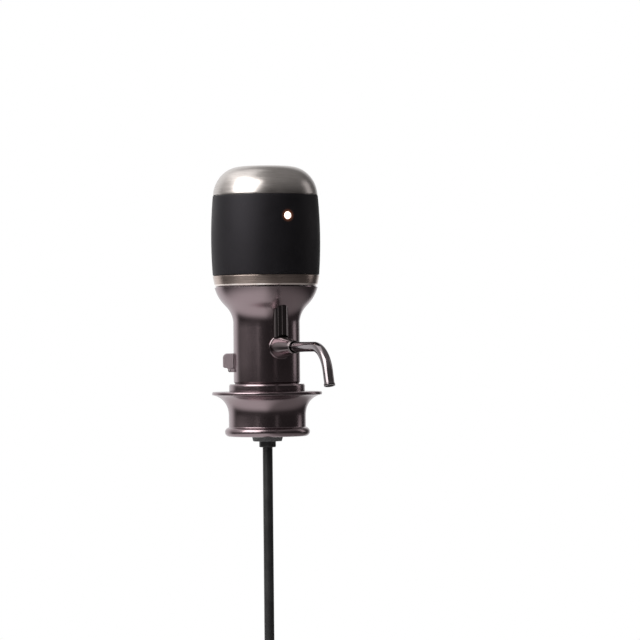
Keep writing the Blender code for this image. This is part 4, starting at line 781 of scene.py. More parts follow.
# Hub saddle: a thin plated ring bent to the column, between its wall and the hub's foot.
# The same plating covers the hub.
BEZEL_BORE_R = 4 * MM
BEZEL_T = 0.95 * MM
BEZEL_EDGE = 0.8 * MM


def wrapped(piece, radius, flat_out=None):
    """Bend a laid piece to the column, all of it or fading out to none at a distance."""
    for vertex in piece.data.vertices:
        out = -vertex.co.y
        share = 1.0
        if flat_out:
            share = min(1.0, max(0.0, (flat_out - out) / (flat_out - radius)))
        vertex.co.y += share * (radius - math.sqrt(radius**2 - vertex.co.x**2))
    return piece


HUB_CHROME = glossy_metal(
    "hub_chrome", dark=(0.27, 0.225, 0.235), pale=(0.29, 0.243, 0.253),
    roughness=0.14, spread=0.03,
)

bezel_start = COLUMN_R + GAP
bezel = [
    (BEZEL_BORE_R, bezel_start, FINE_EDGE / 2), (BEZEL_R, bezel_start, FINE_EDGE / 2),
    (BEZEL_R, bezel_start + BEZEL_T, BEZEL_EDGE), (BEZEL_BORE_R, bezel_start + BEZEL_T, FINE_EDGE / 2),
]
saddle = wrapped(placed(turned("hub_saddle", bezel, steps=128), outward_hub), COLUMN_R)
dress(saddle, HUB_CHROME, "root", "dark_chrome", "hub_bezel")


# Spout hub: a cone on the saddle, with a stub through the column's wall behind it and a bore
# for the spout in front, grooved for a rubber ring.
HUB_BASE_R = 5.55 * MM
HUB_ROOT = 18.3 * MM
HUB_FOOT = 0.6 * MM
HUB_MOUTH_R = 3.3 * MM
HUB_REACH = 32.15 * MM
HUB_BORE_R = 2.8 * MM
STUB_START = 14.5 * MM
GROOVE_DEPTH = 0.7 * MM
GROOVE_START = 27.65 * MM
GROOVE_W = 1.4 * MM
MOUTH_EDGE = 0.3 * MM

cone = [
    (HUB_BORE_R, STUB_START), (STUB_R, STUB_START, FINE_EDGE), (STUB_R, HUB_ROOT),
    (HUB_BASE_R, HUB_ROOT, FINE_EDGE), (HUB_BASE_R, HUB_ROOT + HUB_FOOT, BEZEL_EDGE / 2),
    (HUB_MOUTH_R, HUB_REACH, MOUTH_EDGE), (HUB_BORE_R, HUB_REACH, FINE_EDGE / 2),
    (HUB_BORE_R, GROOVE_START + GROOVE_W), (HUB_BORE_R + GROOVE_DEPTH / 2, GROOVE_START + GROOVE_W),
    (HUB_BORE_R + GROOVE_DEPTH / 2, GROOVE_START), (HUB_BORE_R, GROOVE_START),
]
hub = wrapped(placed(turned("hub_cone", cone, steps=128), outward_hub), HUB_ROOT, HUB_REACH)
dress(hub, HUB_CHROME, "root", "dark_chrome", "spout_hub")


# Outlet ring: a thin bright ring that turns with the spout at the hub's mouth.
# It is bare metal, turned and brushed round the spout's own axis.
RING_START = 32.45 * MM
RING_END = 33.55 * MM

SPOUT_SILVER = satin_metal(
    "spout_silver", dark=(0.36, 0.325, 0.325), pale=(0.42, 0.385, 0.385), worn=(0.55, 0.51, 0.51),
    roughness=0.2, spread=0.08, turn=(math.pi / 2, 0, 0), centre=(0, 0, HUB_Z),
)

mouth = tube_corners(HUB_BORE_R, HUB_MOUTH_R, RING_START, RING_END, 2 * FINE_EDGE)
ring = placed(turned("mouth_ring", mouth, steps=96), outward_hub)
dress(ring, SPOUT_SILVER, "spout_ring", "brushed_silver", "outlet_ring")


# Spout: a thin polished tube, plated dark, that swivels in the hub. It runs straight out, bends
# down in one long bend and ends in a rolled lip.
TUBE_R = 2.5 * MM
TUBE_WALL = 0.7 * MM
TUBE_START = 15.85 * MM
TUBE_STRAIGHT_END = 56.4 * MM
TUBE_BEND_R = 16 * MM
TUBE_BEND = math.radians(75)
TUBE_BEND_STEPS = 40
TUBE_TIP_L = 7.4 * MM
TUBE_LIP_R = 2.75 * MM
TUBE_LIP_L = 1.4 * MM
TUBE_LIP_RISE = 0.3 * MM
TUBE_STEPS = 72
TUBE_SHARP = math.radians(60)

bpy.ops.object.select_all(action="DESELECT")
bpy.ops.mesh.primitive_circle_add(vertices=TUBE_STEPS, radius=TUBE_R)
spout = bpy.context.active_object
spout.name = "pour_tube"
placed(spout, Matrix.Translation((0, -TUBE_START, HUB_Z)) @ OUTWARD)
bpy.ops.object.mode_set(mode="EDIT")
bpy.ops.mesh.select_mode(type="EDGE")
bpy.ops.mesh.select_all(action="SELECT")
run = (0, TUBE_START - TUBE_STRAIGHT_END, 0)
bpy.ops.mesh.extrude_edges_move(TRANSFORM_OT_translate={"value": run})
bend_centre = (0, -TUBE_STRAIGHT_END, HUB_Z - TUBE_BEND_R)
bpy.ops.mesh.spin(steps=TUBE_BEND_STEPS, angle=-TUBE_BEND, center=bend_centre, axis=(1, 0, 0))
heading = Vector((0, -math.cos(TUBE_BEND), -math.sin(TUBE_BEND)))
ring_middle = Vector(bend_centre)
ring_middle += TUBE_BEND_R * Vector((0, -math.sin(TUBE_BEND), math.cos(TUBE_BEND)))
tip_steps = (
    (TUBE_TIP_L - TUBE_LIP_L, 1.0), (TUBE_LIP_RISE, TUBE_LIP_R / TUBE_R), (TUBE_LIP_L - TUBE_LIP_RISE, 1.0),
)
for length, growth in tip_steps:
    ring_middle += heading * length
    bpy.ops.mesh.extrude_edges_move(TRANSFORM_OT_translate={"value": heading * length})
    bpy.ops.transform.resize(value=(growth, growth, growth), center_override=ring_middle)
bpy.ops.mesh.select_mode(type="VERT")
welded()
walls = spout.modifiers.new("Solidify", "SOLIDIFY")
walls.thickness = TUBE_WALL
walls.offset = -1
bpy.ops.object.modifier_apply(modifier=walls.name)
bevelled(TUBE_SHARP, FINE_EDGE / 2)

TUBE_CHROME = glossy_metal(
    "tube_chrome", dark=(0.27, 0.24, 0.25), pale=(0.285, 0.255, 0.265),
    roughness=0.11, spread=0.02,
)

dress(smoothed(spout), TUBE_CHROME, "spout", "dark_chrome", "spout_tube")


# Side lever: a moulded tab in light grey that is lifted to let air in. It turns on a steel pin
# at its slim lower end, and its rubber pad shuts the vent hole in the column.
LEVER_OUTER = 3.6 * MM
LEVER_INNER = -2.2 * MM
LEVER_INNER_LOW = 0.9 * MM
LEVER_WALL_GAP = 0.2 * MM
LEVER_TOP = 8.6 * MM
LEVER_HEEL = 1.3 * MM
LEVER_TOP_R = 2.2 * MM
LEVER_HEEL_R = 1.4 * MM
LEVER_EDGE = 0.45 * MM
LEVER_NECK = 1.5 * MM
LEVER_NECK_R = 0.8 * MM
PAD_R = 1.6 * MM
PAD_T = 1.2 * MM
PIN_HALF = LEVER_W / 2 + GAP + LUG_T
FLAT_FROM = 0.999

LEVER_GREY = moulded(
    "lever_grey", dark=(0.25, 0.205, 0.222), pale=(0.28, 0.23, 0.248),
    roughness=0.4, spread=0.1, bump=0.05,
)
STEEL = satin_metal(
    "plain_steel", dark=(0.5, 0.5, 0.51), pale=(0.6, 0.6, 0.61), worn=(0.72, 0.72, 0.73),
    roughness=0.22, spread=0.1,
)


def disc_corners(radius, low, high, low_edge, high_edge):
    """The outline of a solid disc or pin with its two edges rounded."""
    return [(0, low), (radius, low, low_edge), (radius, high, high_edge), (0, high)]


tab = rounded([
    (LEVER_INNER, LEVER_TOP), (LEVER_OUTER, LEVER_TOP, LEVER_TOP_R),
    (LEVER_OUTER, LEVER_HEEL, LEVER_HEEL_R), (LEVER_NECK, LEVER_HEEL, LEVER_NECK_R),
    (LEVER_EYE_R / 2, -LEVER_EYE_R, LEVER_EYE_R), (-LEVER_EYE_R, -LEVER_EYE_R, LEVER_EYE_R),
    (-LEVER_EYE_R, LEVER_INNER_LOW), (LEVER_INNER, LEVER_INNER_LOW),
], count=8)
lever = plate("side_lever", tab, -LEVER_W / 2, LEVER_W / 2, LEVER_EDGE)
worked(lever, rod(LEVER_PIN_R + SEAM, -PIN_HALF, PIN_HALF, ACROSS, steps=32))
pad_place = Matrix.Translation((0, LEVER_PIVOT_R, VENT_Z - LEVER_PIVOT_Z)) @ OUTWARD
pad_start = COLUMN_R + GAP
worked(lever, rod(PAD_R + SEAM, pad_start - OVERRUN, pad_start + PAD_T + GAP, pad_place, steps=48))
placed(lever, LEVER_PLACE)
worked(lever, rod(COLUMN_R + LEVER_WALL_GAP, COLUMN_FOOT_Z, BELL_FOOT_Z, steps=TURN_STEPS))
dress(smoothed(lever), LEVER_GREY, "vent", "lever_grey", "vent_lever")

# The lever's two sides are shaded flat, and the lugs are painted the lever's grey.
hinge_axis = LEVER_PLACE.to_3x3() @ Vector((1, 0, 0))
for face in lever.data.polygons:
    if abs(face.normal.dot(hinge_axis)) > FLAT_FROM:
        face.use_smooth = False
for face in housing.data.polygons:
    if face.center.xy.length > COLUMN_R + SEAM and face.center.z < HUB_Z:
        face.material_index = 1
housing.data.materials.append(LEVER_GREY)

disc = [(0, pad_start), (PAD_R, pad_start, FINE_EDGE), (PAD_R, pad_start + PAD_T), (0, pad_start + PAD_T)]
pad = placed(turned("valve_pad", disc, steps=48), LEVER_PLACE @ pad_place)
dress(pad, SILICONE, "vent", "silicone", "vent_pad")
pin = disc_corners(LEVER_PIN_R, -PIN_HALF, PIN_HALF, FINE_EDGE, FINE_EDGE)
hinge_pin = placed(turned("hinge_pin", pin, steps=48), LEVER_PLACE @ ACROSS)
dress(hinge_pin, STEEL, "root", "steel", "lever_pin")


# Body band: a brushed ring between the bell and the sleeve. Its lower edge is chamfered, with a painted
# highlight in a much paler copy of its metal, and an upstand inside it centres the sleeve.
BAND_Z = 56.2 * MM
BAND_TOP_Z = 61.35 * MM
BAND_TOP_R = 26.9 * MM
BAND_CHAMFER = 0.85 * MM
BAND_CHAMFER_T = 0.5 * MM
UPSTAND_R = 24.9 * MM
UPSTAND_BORE_R = 24.2 * MM
UPSTAND_TOP_Z = 64.35 * MM

SILVER = satin_metal(
    "brushed_silver", dark=(0.5, 0.465, 0.445), pale=(0.67, 0.63, 0.605), worn=(0.8, 0.76, 0.74),
    roughness=0.26, spread=0.08, bump=0.18,
)
BAND_SILVER = satin_metal(
    "band_silver", dark=(0.46, 0.375, 0.335), pale=(0.57, 0.465, 0.42), worn=(0.7, 0.6, 0.56),
    roughness=0.26, spread=0.06, bump=0.1,
)
# A much paler copy of the band's metal, which paints a highlight along its chamfer.
CHAMFER_HIGHLIGHT_SILVER = satin_metal(
    "painted_highlight_silver", dark=(0.86, 0.77, 0.73), pale=(0.93, 0.84, 0.8), worn=(0.95, 0.88, 0.85),
    roughness=0.28, spread=0.04, bump=0.04,
)
for finish in (BAND_SILVER, CHAMFER_HIGHLIGHT_SILVER):
    brushed = finish.node_tree.nodes["Principled BSDF"].inputs
    brushed["Anisotropic"].default_value = 0.75
    brushed["Anisotropic Rotation"].default_value = 0.25

band = [
    (UPSTAND_BORE_R, BAND_Z, FINE_EDGE), (BELL_R - BAND_CHAMFER_T, BAND_Z, FINE_EDGE / 2),
    (BELL_R, BAND_Z + BAND_CHAMFER, FINE_EDGE / 2), (BAND_TOP_R, BAND_TOP_Z, FINE_EDGE),
    (UPSTAND_R, BAND_TOP_Z, FINE_EDGE), (UPSTAND_R, UPSTAND_TOP_Z, FINE_EDGE),
    (UPSTAND_BORE_R, UPSTAND_TOP_Z, FINE_EDGE),
]
hoop = dress(turned("body_band", band), BAND_SILVER, "root", "brushed_silver", "band_ring")
# The chamfer's faces take the paler copy: a painted highlight along the band's lower edge.
hoop.data.materials.append(CHAMFER_HIGHLIGHT_SILVER)
for face in hoop.data.polygons:
    if face.center.z < BAND_Z + BAND_CHAMFER and face.center.xy.length > UPSTAND_R:
        face.material_index = 1


# Grip sleeve: a barrel-shaped shell with a matte soft-touch coat, slid over the cells from above.
# A small round hole in its front lets the light out.
SLEEVE_Z = 61.65 * MM
SLEEVE_TOP_Z = 101.65 * MM
SLEEVE_MAX_R = 27.5 * MM
SLEEVE_MAX_Z = 79.6 * MM
SLEEVE_ARC_R = 240 * MM
SLEEVE_BORE_R = 25.2 * MM
REBATE_R = 25.75 * MM
REBATE_Z = 97.25 * MM
SLEEVE_STEPS = 24
LED_Z = 90.75 * MM
LENS_R = 1.85 * MM
HALO_R = 3.6 * MM


def sleeve_radius(height):
    """Outer radius of the barrel-shaped sleeve at a height."""
    return SLEEVE_MAX_R - (height - SLEEVE_MAX_Z) ** 2 / (2 * SLEEVE_ARC_R)


LENS_MIDDLE = (0, -sleeve_radius(LED_Z), LED_Z)


def soft_touch_coat():
    """A rubbery black coat: a dead-flat grain, a little sheen, and a warm glow of the light painted round its
    hole.
    """
    finish, tree, shader, place = new_finish("soft_touch_black", 0.0)
    grain = use(tree, GRAIN, Place=place, Fineness=3200.0, Drift=55.0)
    tone = blended(tree, grain["Grain"], grain["Haze"], share=0.6)
    tone = ease(tree, tone, NOISE_LOW, NOISE_HIGH)
    painted(tree, shader, tone, (0.0045, 0.0043, 0.0052, 1), (0.0075, 0.0072, 0.0085, 1))
    glossed(tree, shader, grain["Haze"], roughness=0.5, spread=0.1)
    # A painted glow: the coat's emission turns warm round the light's hole, as if the light spilled onto it.
    painted_glow = ease(tree, vector_maths(tree, "DISTANCE", place, LENS_MIDDLE)["Value"], HALO_R, LENS_R)
    tree.links.new(between(tree, painted_glow, (0, 0, 0, 1), (0.09, 0.03, 0.014, 1)), shader["Emission Color"])
    shader["Emission Strength"].default_value = 1.0
    shader["Specular IOR Level"].default_value = 0.36
    shader["Specular Tint"].default_value = (1.0, 0.94, 1.05, 1)
    raised(tree, shader, grain["Grain"], strength=0.22, distance=GRAIN_H)
    return finish


SOFT_TOUCH = soft_touch_coat()

barrel = []
for step in range(SLEEVE_STEPS + 1):
    height = SLEEVE_Z + (SLEEVE_TOP_Z - SLEEVE_Z) * step / SLEEVE_STEPS
    barrel.append((sleeve_radius(height), height))
barrel[0] += (FINE_EDGE,)
barrel[-1] += (FINE_EDGE,)
skin = [(SLEEVE_BORE_R, SLEEVE_Z, FINE_EDGE)] + barrel
skin += [(REBATE_R, SLEEVE_TOP_Z), (REBATE_R, REBATE_Z), (SLEEVE_BORE_R, REBATE_Z)]
grip = turned("grip_skin", skin)
outward_light = outward(LED_Z)
worked(grip, rod(LENS_R + 2 * SEAM, SLEEVE_BORE_R - OVERRUN, SLEEVE_MAX_R + OVERRUN, outward_light))
dress(smoothed(grip), SOFT_TOUCH, "cover", "soft_touch_black", "grip_sleeve")


# Light: a milky button-shaped lens pressed into the sleeve's hole, lit white from behind.
# It shows that the pump has power.
LENS_BACK = 25.35 * MM
LENS_CROWN = 0.15 * MM
LENS_FLAT_SHARE = 0.6
LENS_GLOW_SHARE = 0.4


def lit_lens():
    """A diffusing lens, brightest at its middle."""
    finish, tree, shader, place = new_finish("lit_lens", 0.0)
    spread = vector_maths(tree, "DISTANCE", place, LENS_MIDDLE)["Value"]
    glow = ease(tree, spread, LENS_R, LENS_GLOW_SHARE * LENS_R)
    tree.links.new(between(tree, glow, (1.0, 0.74, 0.62, 1), (1.0, 0.97, 0.93, 1)), shader["Emission Color"])
    shader["Emission Strength"].default_value = 2.2
    grain = use(tree, GRAIN, Place=place, Fineness=1500.0)["Grain"]
    painted(tree, shader, grain, (0.8, 0.79, 0.77, 1), (0.88, 0.87, 0.85, 1))
    glossed(tree, shader, grain, roughness=0.2, spread=0.1)
    return finish


front = sleeve_radius(LED_Z)
lens = [
    (0, LENS_BACK), (LENS_R, LENS_BACK), (LENS_R, front - LENS_CROWN, FINE_EDGE),
    (LENS_FLAT_SHARE * LENS_R, front), (0, front + LENS_CROWN / 2),
]
lens = placed(turned("light_lens", lens, steps=64), outward_light)
dress(lens, lit_lens(), "cover", "lens_white", "led_lens")


# Dome: a pressed cap of brushed metal on the sleeve's top, with a deep round shoulder. A spigot
# under its seam fits in the sleeve, and its crown is open for the button.
DOME_R = 26.35 * MM
DOME_Z = 101.95 * MM
DOME_TOP_Z = 116.3 * MM
DOME_WALL = 1.4 * MM
DOME_CROWN = 1.9 * MM
DOME_SHARES = ((0.975, 0.55), (0.63, 0.05))
DOME_SPIGOT_R = 25.45 * MM
DOME_SPIGOT_Z = 97.55 * MM
BUTTON_HOLE_R = 13 * MM
DOME_COLLAR_R = 14.4 * MM
DOME_COLLAR_Z = 113 * MM

shoulder = curve((DOME_R, DOME_Z), (BUTTON_HOLE_R, DOME_TOP_Z), DOME_SHARES, count=48)
shoulder[0] += (FINE_EDGE,)
shoulder[-1] += (FINE_EDGE,)
inner_seam = (DOME_R - DOME_WALL, DOME_Z)
inner_crown = (DOME_COLLAR_R, DOME_TOP_Z - DOME_CROWN)
inside = curve(inner_seam, inner_crown, DOME_SHARES, count=24)
cap = [(BUTTON_HOLE_R, DOME_COLLAR_Z, FINE_EDGE)] + shoulder[::-1]
cap += [(DOME_SPIGOT_R, DOME_Z), (DOME_SPIGOT_R, DOME_SPIGOT_Z), (DOME_R - DOME_WALL, DOME_SPIGOT_Z)]
cap += inside + [(DOME_COLLAR_R, DOME_COLLAR_Z, FINE_EDGE)]
dress(turned("dome_shell", cap), SILVER, "cover", "brushed_silver", "top_dome")


# Push button: a dished round cap of the same brushed metal that fills the crown of the dome.
# A skirt with a stop lip keeps it under the dome, and its stem works the switch.
BUTTON_R = 12.7 * MM
BUTTON_DISH = 0.9 * MM
BUTTON_WALL = 1.2 * MM
BUTTON_UNDER_Z = 114.3 * MM
BUTTON_LIP_R = 14.2 * MM
BUTTON_LIP_TOP_Z = 112.7 * MM
BUTTON_LIP_Z = 111.9 * MM
STEM_R = 2.5 * MM
STEM_Z = 106.3 * MM
DISH_STEPS = 14

dish = []
for step in range(DISH_STEPS):
    share = step / DISH_STEPS
    dish.append((BUTTON_R * share, DOME_TOP_Z - BUTTON_DISH * (1 - share**2)))
key = dish + [
    (BUTTON_R, DOME_TOP_Z, 2 * FINE_EDGE), (BUTTON_R, BUTTON_LIP_TOP_Z),
    (BUTTON_LIP_R, BUTTON_LIP_TOP_Z, FINE_EDGE), (BUTTON_LIP_R, BUTTON_LIP_Z, FINE_EDGE),
    (BUTTON_R - BUTTON_WALL, BUTTON_LIP_Z, FINE_EDGE), (BUTTON_R - BUTTON_WALL, BUTTON_UNDER_Z, FINE_EDGE),
    (STEM_R, BUTTON_UNDER_Z, FINE_EDGE), (STEM_R, STEM_Z, FINE_EDGE), (0, STEM_Z),
]
dress(turned("button_cap", key), SILVER, "button", "brushed_silver", "push_button")


# Button guide and spring: a moulded disc under the dome steers the button's stem, and a spring
# of hard steel wire on it pushes the button back up.
SPRING_R = 5 * MM
SPRING_WIRE_R = 0.25 * MM
SPRING_LOW_Z = 110.45 * MM
SPRING_HIGH_Z = 113.75 * MM
SPRING_TURNS = 3
SPRING_STEPS = 48
GUIDE_R = 21.3 * MM
GUIDE_Z = 108.2 * MM
GUIDE_TOP_Z = 109.9 * MM

WHITE_PLASTIC = moulded(
    "white_plastic", dark=(0.6, 0.6, 0.58), pale=(0.67, 0.67, 0.65),
    roughness=0.36, spread=0.14, bump=0.08,
)

disc = tube_corners(STEM_R + GAP, GUIDE_R, GUIDE_Z, GUIDE_TOP_Z, FINE_EDGE)
dress(turned("stem_guide", disc, steps=96), WHITE_PLASTIC, "cover", "white_plastic", "button_guide")
wire = []
for step in range(SPRING_TURNS * SPRING_STEPS + 1):
    angle = 2 * math.pi * step / SPRING_STEPS
    height = SPRING_LOW_Z + (SPRING_HIGH_Z - SPRING_LOW_Z) * step / (SPRING_TURNS * SPRING_STEPS)
    wire.append((SPRING_R * math.cos(angle), SPRING_R * math.sin(angle), height))
coil = drawn("return_spring", wire)
bpy.ops.object.mode_set(mode="OBJECT")
bpy.ops.object.convert(target="CURVE")
coil.data.bevel_depth = SPRING_WIRE_R
coil.data.bevel_resolution = 3
coil.data.use_fill_caps = True
bpy.ops.object.convert(target="MESH")
dress(smoothed(coil), STEEL, "cover", "steel", "button_spring")
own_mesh(coil)


# Cells: six AAA cells stand in a ring, every second one upside down. Each is a steel can in a
# thin plain film that is shrunk over its rims, with a dark stripe at its positive end.
CELLS = 6
CELL_R = 5.25 * MM
CELL_CAN_R = 5.1 * MM
CELL_Z = 56.6 * MM
CELL_H = 44.5 * MM
CELL_NUB_R = 1.9 * MM
CELL_NUB_H = 0.8 * MM
CELL_RING_R = 18.6 * MM
CELL_RIM = 0.5 * MM
FILM_SINK = 0.1 * MM
STRIPE_H = 9 * MM
STRIPE_FADE = 0.05 * MM


def cell_film(name, stripe_z):
    """A glossy plain film: a slow mottle, a fine crinkle and a dark stripe round one end."""
    finish, tree, shader, place = new_finish(name, 0.3)
    grain = use(tree, GRAIN, Place=place, Fineness=900.0, Drift=140.0)
    height = node(tree, "SeparateXYZ", {"Vector": place}).outputs["Z"]
    offset = maths(tree, "ABSOLUTE", maths(tree, "SUBTRACT", height, stripe_z))
    stripe = ease(tree, offset, STRIPE_H / 2 + STRIPE_FADE, STRIPE_H / 2 - STRIPE_FADE)
    body = between(tree, grain["Haze"], (0.15, 0.18, 0.22, 1), (0.19, 0.22, 0.26, 1))
    painted(tree, shader, stripe, body, (0.03, 0.035, 0.045, 1))
    glossed(tree, shader, grain["Haze"], roughness=0.22, spread=0.1)
    raised(tree, shader, grain["Grain"], strength=0.1, distance=GRAIN_H)
    return finish


film_up = cell_film("cell_film_up", CELL_Z + CELL_H - CELL_NUB_H - STRIPE_H / 2)
film_down = cell_film("cell_film_down", CELL_Z + CELL_NUB_H + STRIPE_H / 2)
body_h = CELL_H - CELL_NUB_H
can_outline = [
    (0, 0), (CELL_CAN_R, 0, 2 * FINE_EDGE), (CELL_CAN_R, body_h, 2 * FINE_EDGE),
    (CELL_NUB_R, body_h, FINE_EDGE), (CELL_NUB_R, CELL_H, FINE_EDGE), (0, CELL_H),
]
film_outline = tube_corners(CELL_CAN_R - CELL_RIM, CELL_R, FILM_SINK, body_h - FILM_SINK, 2 * FINE_EDGE)
flip = Matrix.Translation((0, 0, CELL_H)) @ Matrix.Rotation(math.pi, 4, "X")
for index in range(CELLS):
    around = Matrix.Rotation(2 * math.pi * index / CELLS, 4, "Z")
    stand = around @ Matrix.Translation((CELL_RING_R, 0, CELL_Z)) @ (flip if index % 2 else Matrix())
    can = placed(turned("cell_can", can_outline, steps=64), stand)
    can.data.materials.append(STEEL)
    cell = placed(turned("cell_" + str(index + 1), film_outline, steps=64), stand)
    cell.data.materials.append(film_down if index % 2 else film_up)
    alone(cell)
    can.select_set(True)
    bpy.ops.object.join()
    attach(cell, "root")
    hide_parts("battery_" + str(index + 1))


# Cradle: a moulded black spool that holds the cells and, in its core, the motor. Its floor is
# screwed to the bell's bosses, and rounded fins stand between the cells.
CRADLE_R = 22.6 * MM
CRADLE_Z = 52.9 * MM
CRADLE_FLOOR_Z = 54.4 * MM
CRADLE_HOLE_R = 3.5 * MM
CRADLE_TOP_R = 23.9 * MM
CRADLE_TOP_Z = 102.1 * MM
CRADLE_END_Z = 103.5 * MM
CORE_R = 12 * MM
CORE_BORE_R = 10.6 * MM
FIN_R = 16 * MM
FIN_T = 3 * MM
FIN_SINK = 0.7 * MM
FIN_ROUND = 0.8 * MM


def block(name, size, edge, segments, middle=(0, 0, 0)):
    """A block with rounded edges."""
    bpy.ops.object.select_all(action="DESELECT")
    bpy.ops.mesh.primitive_cube_add(size=1, location=middle, scale=size)
    piece = bpy.context.active_object
    piece.name = name
    bpy.ops.object.transform_apply(location=True, rotation=True, scale=True)
    soft = piece.modifiers.new("Bevel", "BEVEL")
    soft.width = edge
    soft.segments = segments
    bpy.ops.object.modifier_apply(modifier=soft.name)
    return piece


def recoat(finish, *names):
    """Give CAD nodes that stay in view a finish."""
    for name in names:
        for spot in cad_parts[name].material_slots:
            spot.material = finish


spool = [
    (CRADLE_HOLE_R, CRADLE_Z), (CRADLE_R, CRADLE_Z, FINE_EDGE), (CRADLE_R, CRADLE_FLOOR_Z, FINE_EDGE),
    (CORE_R, CRADLE_FLOOR_Z), (CORE_R, CRADLE_TOP_Z), (CRADLE_TOP_R, CRADLE_TOP_Z, FINE_EDGE),
    (CRADLE_TOP_R, CRADLE_END_Z, 2 * FINE_EDGE), (CORE_BORE_R, CRADLE_END_Z, FINE_EDGE),
    (CORE_BORE_R, CRADLE_FLOOR_Z), (CRADLE_HOLE_R, CRADLE_FLOOR_Z),
]
cradle = turned("cell_cradle", spool, steps=128)
fin_l = FIN_R - (CORE_R + CORE_BORE_R) / 2
fin_h = CRADLE_TOP_Z - CRADLE_FLOOR_Z + 2 * FIN_SINK
fin_place = Matrix.Translation((FIN_R - fin_l / 2, 0, (CRADLE_TOP_Z + CRADLE_FLOOR_Z) / 2))
for index in range(CELLS):
    fin = block("fin", (fin_l, FIN_T, fin_h), FIN_ROUND, segments=4)
    around = Matrix.Rotation(2 * math.pi * (index + 0.5) / CELLS, 4, "Z")
    worked(cradle, placed(fin, around @ fin_place), "UNION")
for place in SCREW_PLACES:
    worked(cradle, rod(PILOT_R, CRADLE_Z - OVERRUN, CRADLE_FLOOR_Z + OVERRUN, place, steps=24))
dress(smoothed(cradle), BLACK_PLASTIC, "root", "black_plastic", "battery_holder")
recoat(STEEL, "holder_screw_1", "holder_screw_2", "holder_screw_3")


# Contact rings: stamped steel rings over and under the cells that join them in series. The lower
# one carries a small sprung stud under each cell.
CONTACT_R = 22.4 * MM
CONTACT_BORE_R = 16.3 * MM
CONTACT_Z = 101.4 * MM
CONTACT_T = 0.4 * MM
SHEET_EDGE = 0.1 * MM

ring = tube_corners(CONTACT_BORE_R, CONTACT_R, CONTACT_Z, CONTACT_Z + CONTACT_T, SHEET_EDGE)
dress(turned("contact_plate", ring, steps=128), STEEL, "root", "steel", "contact_ring_upper")
recoat(STEEL, "contact_ring_lower")


# Circuit board: a round board in the core's mouth with the pump's driver chip, and a narrow board
# between two cells that carries the indicator light.
BOARD_R = 10.3 * MM
BOARD_Z = 97.4 * MM
BOARD_TOP_Z = 98.6 * MM
TRACE_PITCH = 900.0
LIGHT_R = 1.5 * MM
LIGHT_BACK = 21.5 * MM
LIGHT_TIP = 24.9 * MM
LIGHT_ROUND_SHARE = 0.95
TRACK_H = 0.02 * MM
CHIP_EDGE = 0.1 * MM

# The board's chips: each one's x, y, width, depth and height, in millimetres.
CHIPS = (
    (6.6, 2.2, 2.4, 3.6, 0.75), (-6.6, -2.4, 1.4, 2.6, 0.7), (-6.4, 2.6, 1.8, 1.2, 0.6),
    (2.2, -6.6, 3.0, 1.6, 0.7), (-2.6, -6.4, 1.2, 0.8, 0.5), (0.6, 6.8, 4.2, 2.0, 0.8),
)


def solder_mask():
    """Green lacquer over copper tracks that show through it as paler lines."""
    finish, tree, shader, place = new_finish("board_green", 0.0)
    haze = use(tree, GRAIN, Place=place, Drift=200.0)["Haze"]
    tracks = node(tree, "TexBrick", {
        "Vector": place, "Scale": TRACE_PITCH, "Color1": (0, 0, 0, 1), "Color2": (0, 0, 0, 1),
        "Mortar": (1, 1, 1, 1), "Mortar Size": 0.06, "Brick Width": 1.9, "Row Height": 0.9,
    }).outputs["Fac"]
    body = between(tree, haze, (0.008, 0.075, 0.028, 1), (0.014, 0.105, 0.04, 1))
    painted(tree, shader, tracks, body, (0.03, 0.2, 0.07, 1))
    glossed(tree, shader, haze, roughness=0.26, spread=0.1)
    raised(tree, shader, tracks, strength=0.2, distance=TRACK_H)
    return finish


BOARD_GREEN = solder_mask()

disc = disc_corners(BOARD_R, BOARD_Z, BOARD_TOP_Z, SHEET_EDGE, SHEET_EDGE)
dress(turned("driver_board", disc, steps=96), BOARD_GREEN, "root", "board_green", "circuit_board")
for index, (x, y, width, depth, height) in enumerate(CHIPS):
    size = (width * MM, depth * MM, height * MM)
    middle = (x * MM, y * MM, BOARD_TOP_Z + height * MM / 2)
    chip = block("board_part_" + str(index + 1), size, CHIP_EDGE, segments=2, middle=middle)
    dress(chip, BLACK_PLASTIC, "root", "black_plastic")
recoat(BOARD_GREEN, "led_board")
bulb = disc_corners(LIGHT_R, LIGHT_BACK, LIGHT_TIP, FINE_EDGE / 2, LIGHT_ROUND_SHARE * LIGHT_R)
bulb = placed(turned("board_light", bulb, steps=48), outward_light)
dress(bulb, WHITE_PLASTIC, "root", "lens_white", "indicator_led")


# Power switch: a square push switch soldered to the board. Its white plunger meets the button's
# stem when the cover is on.
SWITCH_W = 6.2 * MM
SWITCH_Z = 98.9 * MM
SWITCH_TOP_Z = 103.9 * MM
SWITCH_BORE_R = 1.75 * MM
SWITCH_BORE_Z = 99.8 * MM
PLUNGER_R = 1.6 * MM
PLUNGER_Z = 101.6 * MM
PLUNGER_TOP_Z = 106 * MM

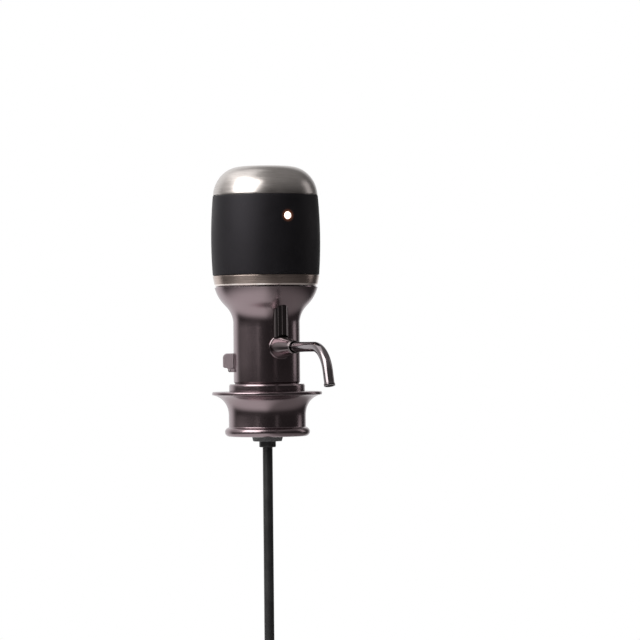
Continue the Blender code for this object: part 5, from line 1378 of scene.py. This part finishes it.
size = (SWITCH_W, SWITCH_W, SWITCH_TOP_Z - SWITCH_Z)
switch = block("push_switch", size, FINE_EDGE, segments=3, middle=(0, 0, (SWITCH_Z + SWITCH_TOP_Z) / 2))
worked(switch, rod(SWITCH_BORE_R, SWITCH_BORE_Z, SWITCH_TOP_Z + OVERRUN))
dress(smoothed(switch), BLACK_PLASTIC, "root", "black_plastic", "power_switch")
post = disc_corners(PLUNGER_R, PLUNGER_Z, PLUNGER_TOP_Z, FINE_EDGE, 2 * FINE_EDGE)
dress(turned("switch_post", post, steps=48), WHITE_PLASTIC, "plunger", "white_plastic", "switch_plunger")


# Motor: a steel can with a ring magnet, a wound rotor and a moulded end cap. Two sleeved leads
# come up to the board, and the shaft turns the eccentric.
COPPER = satin_metal(
    "copper", dark=(0.6, 0.3, 0.17), pale=(0.7, 0.37, 0.22), worn=(0.8, 0.47, 0.32),
    roughness=0.28, spread=0.1,
)
MAGNET_GREY = moulded(
    "magnet_grey", dark=(0.085, 0.085, 0.09), pale=(0.115, 0.115, 0.12),
    roughness=0.55, spread=0.1, bump=0.2,
)

recoat(STEEL, "motor_can")
recoat(MAGNET_GREY, "motor_magnet")
recoat(COPPER, "motor_rotor")
recoat(WHITE_PLASTIC, "motor_end_cap", "drive_eccentric")
recoat(BLACK_PLASTIC, "motor_lead_positive", "motor_lead_negative")


# Pump: a moulded housing with a wobble plate, a rubber diaphragm, a valve plate and a head, held
# by three screws. A soft hose takes its air to the duct.
recoat(WHITE_PLASTIC, "pump_housing", "pump_head")
recoat(LEVER_GREY, "wobble_plate", "valve_plate")
recoat(SILICONE, "diaphragm", "air_hose")
recoat(STEEL, "pump_screw_1", "pump_screw_2", "pump_screw_3")


# Flow parts: a moulded block in the column joins the dip tube to the hub, with a nozzle where
# air meets the drink, a rubber valve below it and a rubber ring round the spout.
recoat(WHITE_PLASTIC, "flow_block")
recoat(LEVER_GREY, "aeration_nozzle")
recoat(SILICONE, "check_valve", "spout_o_ring")
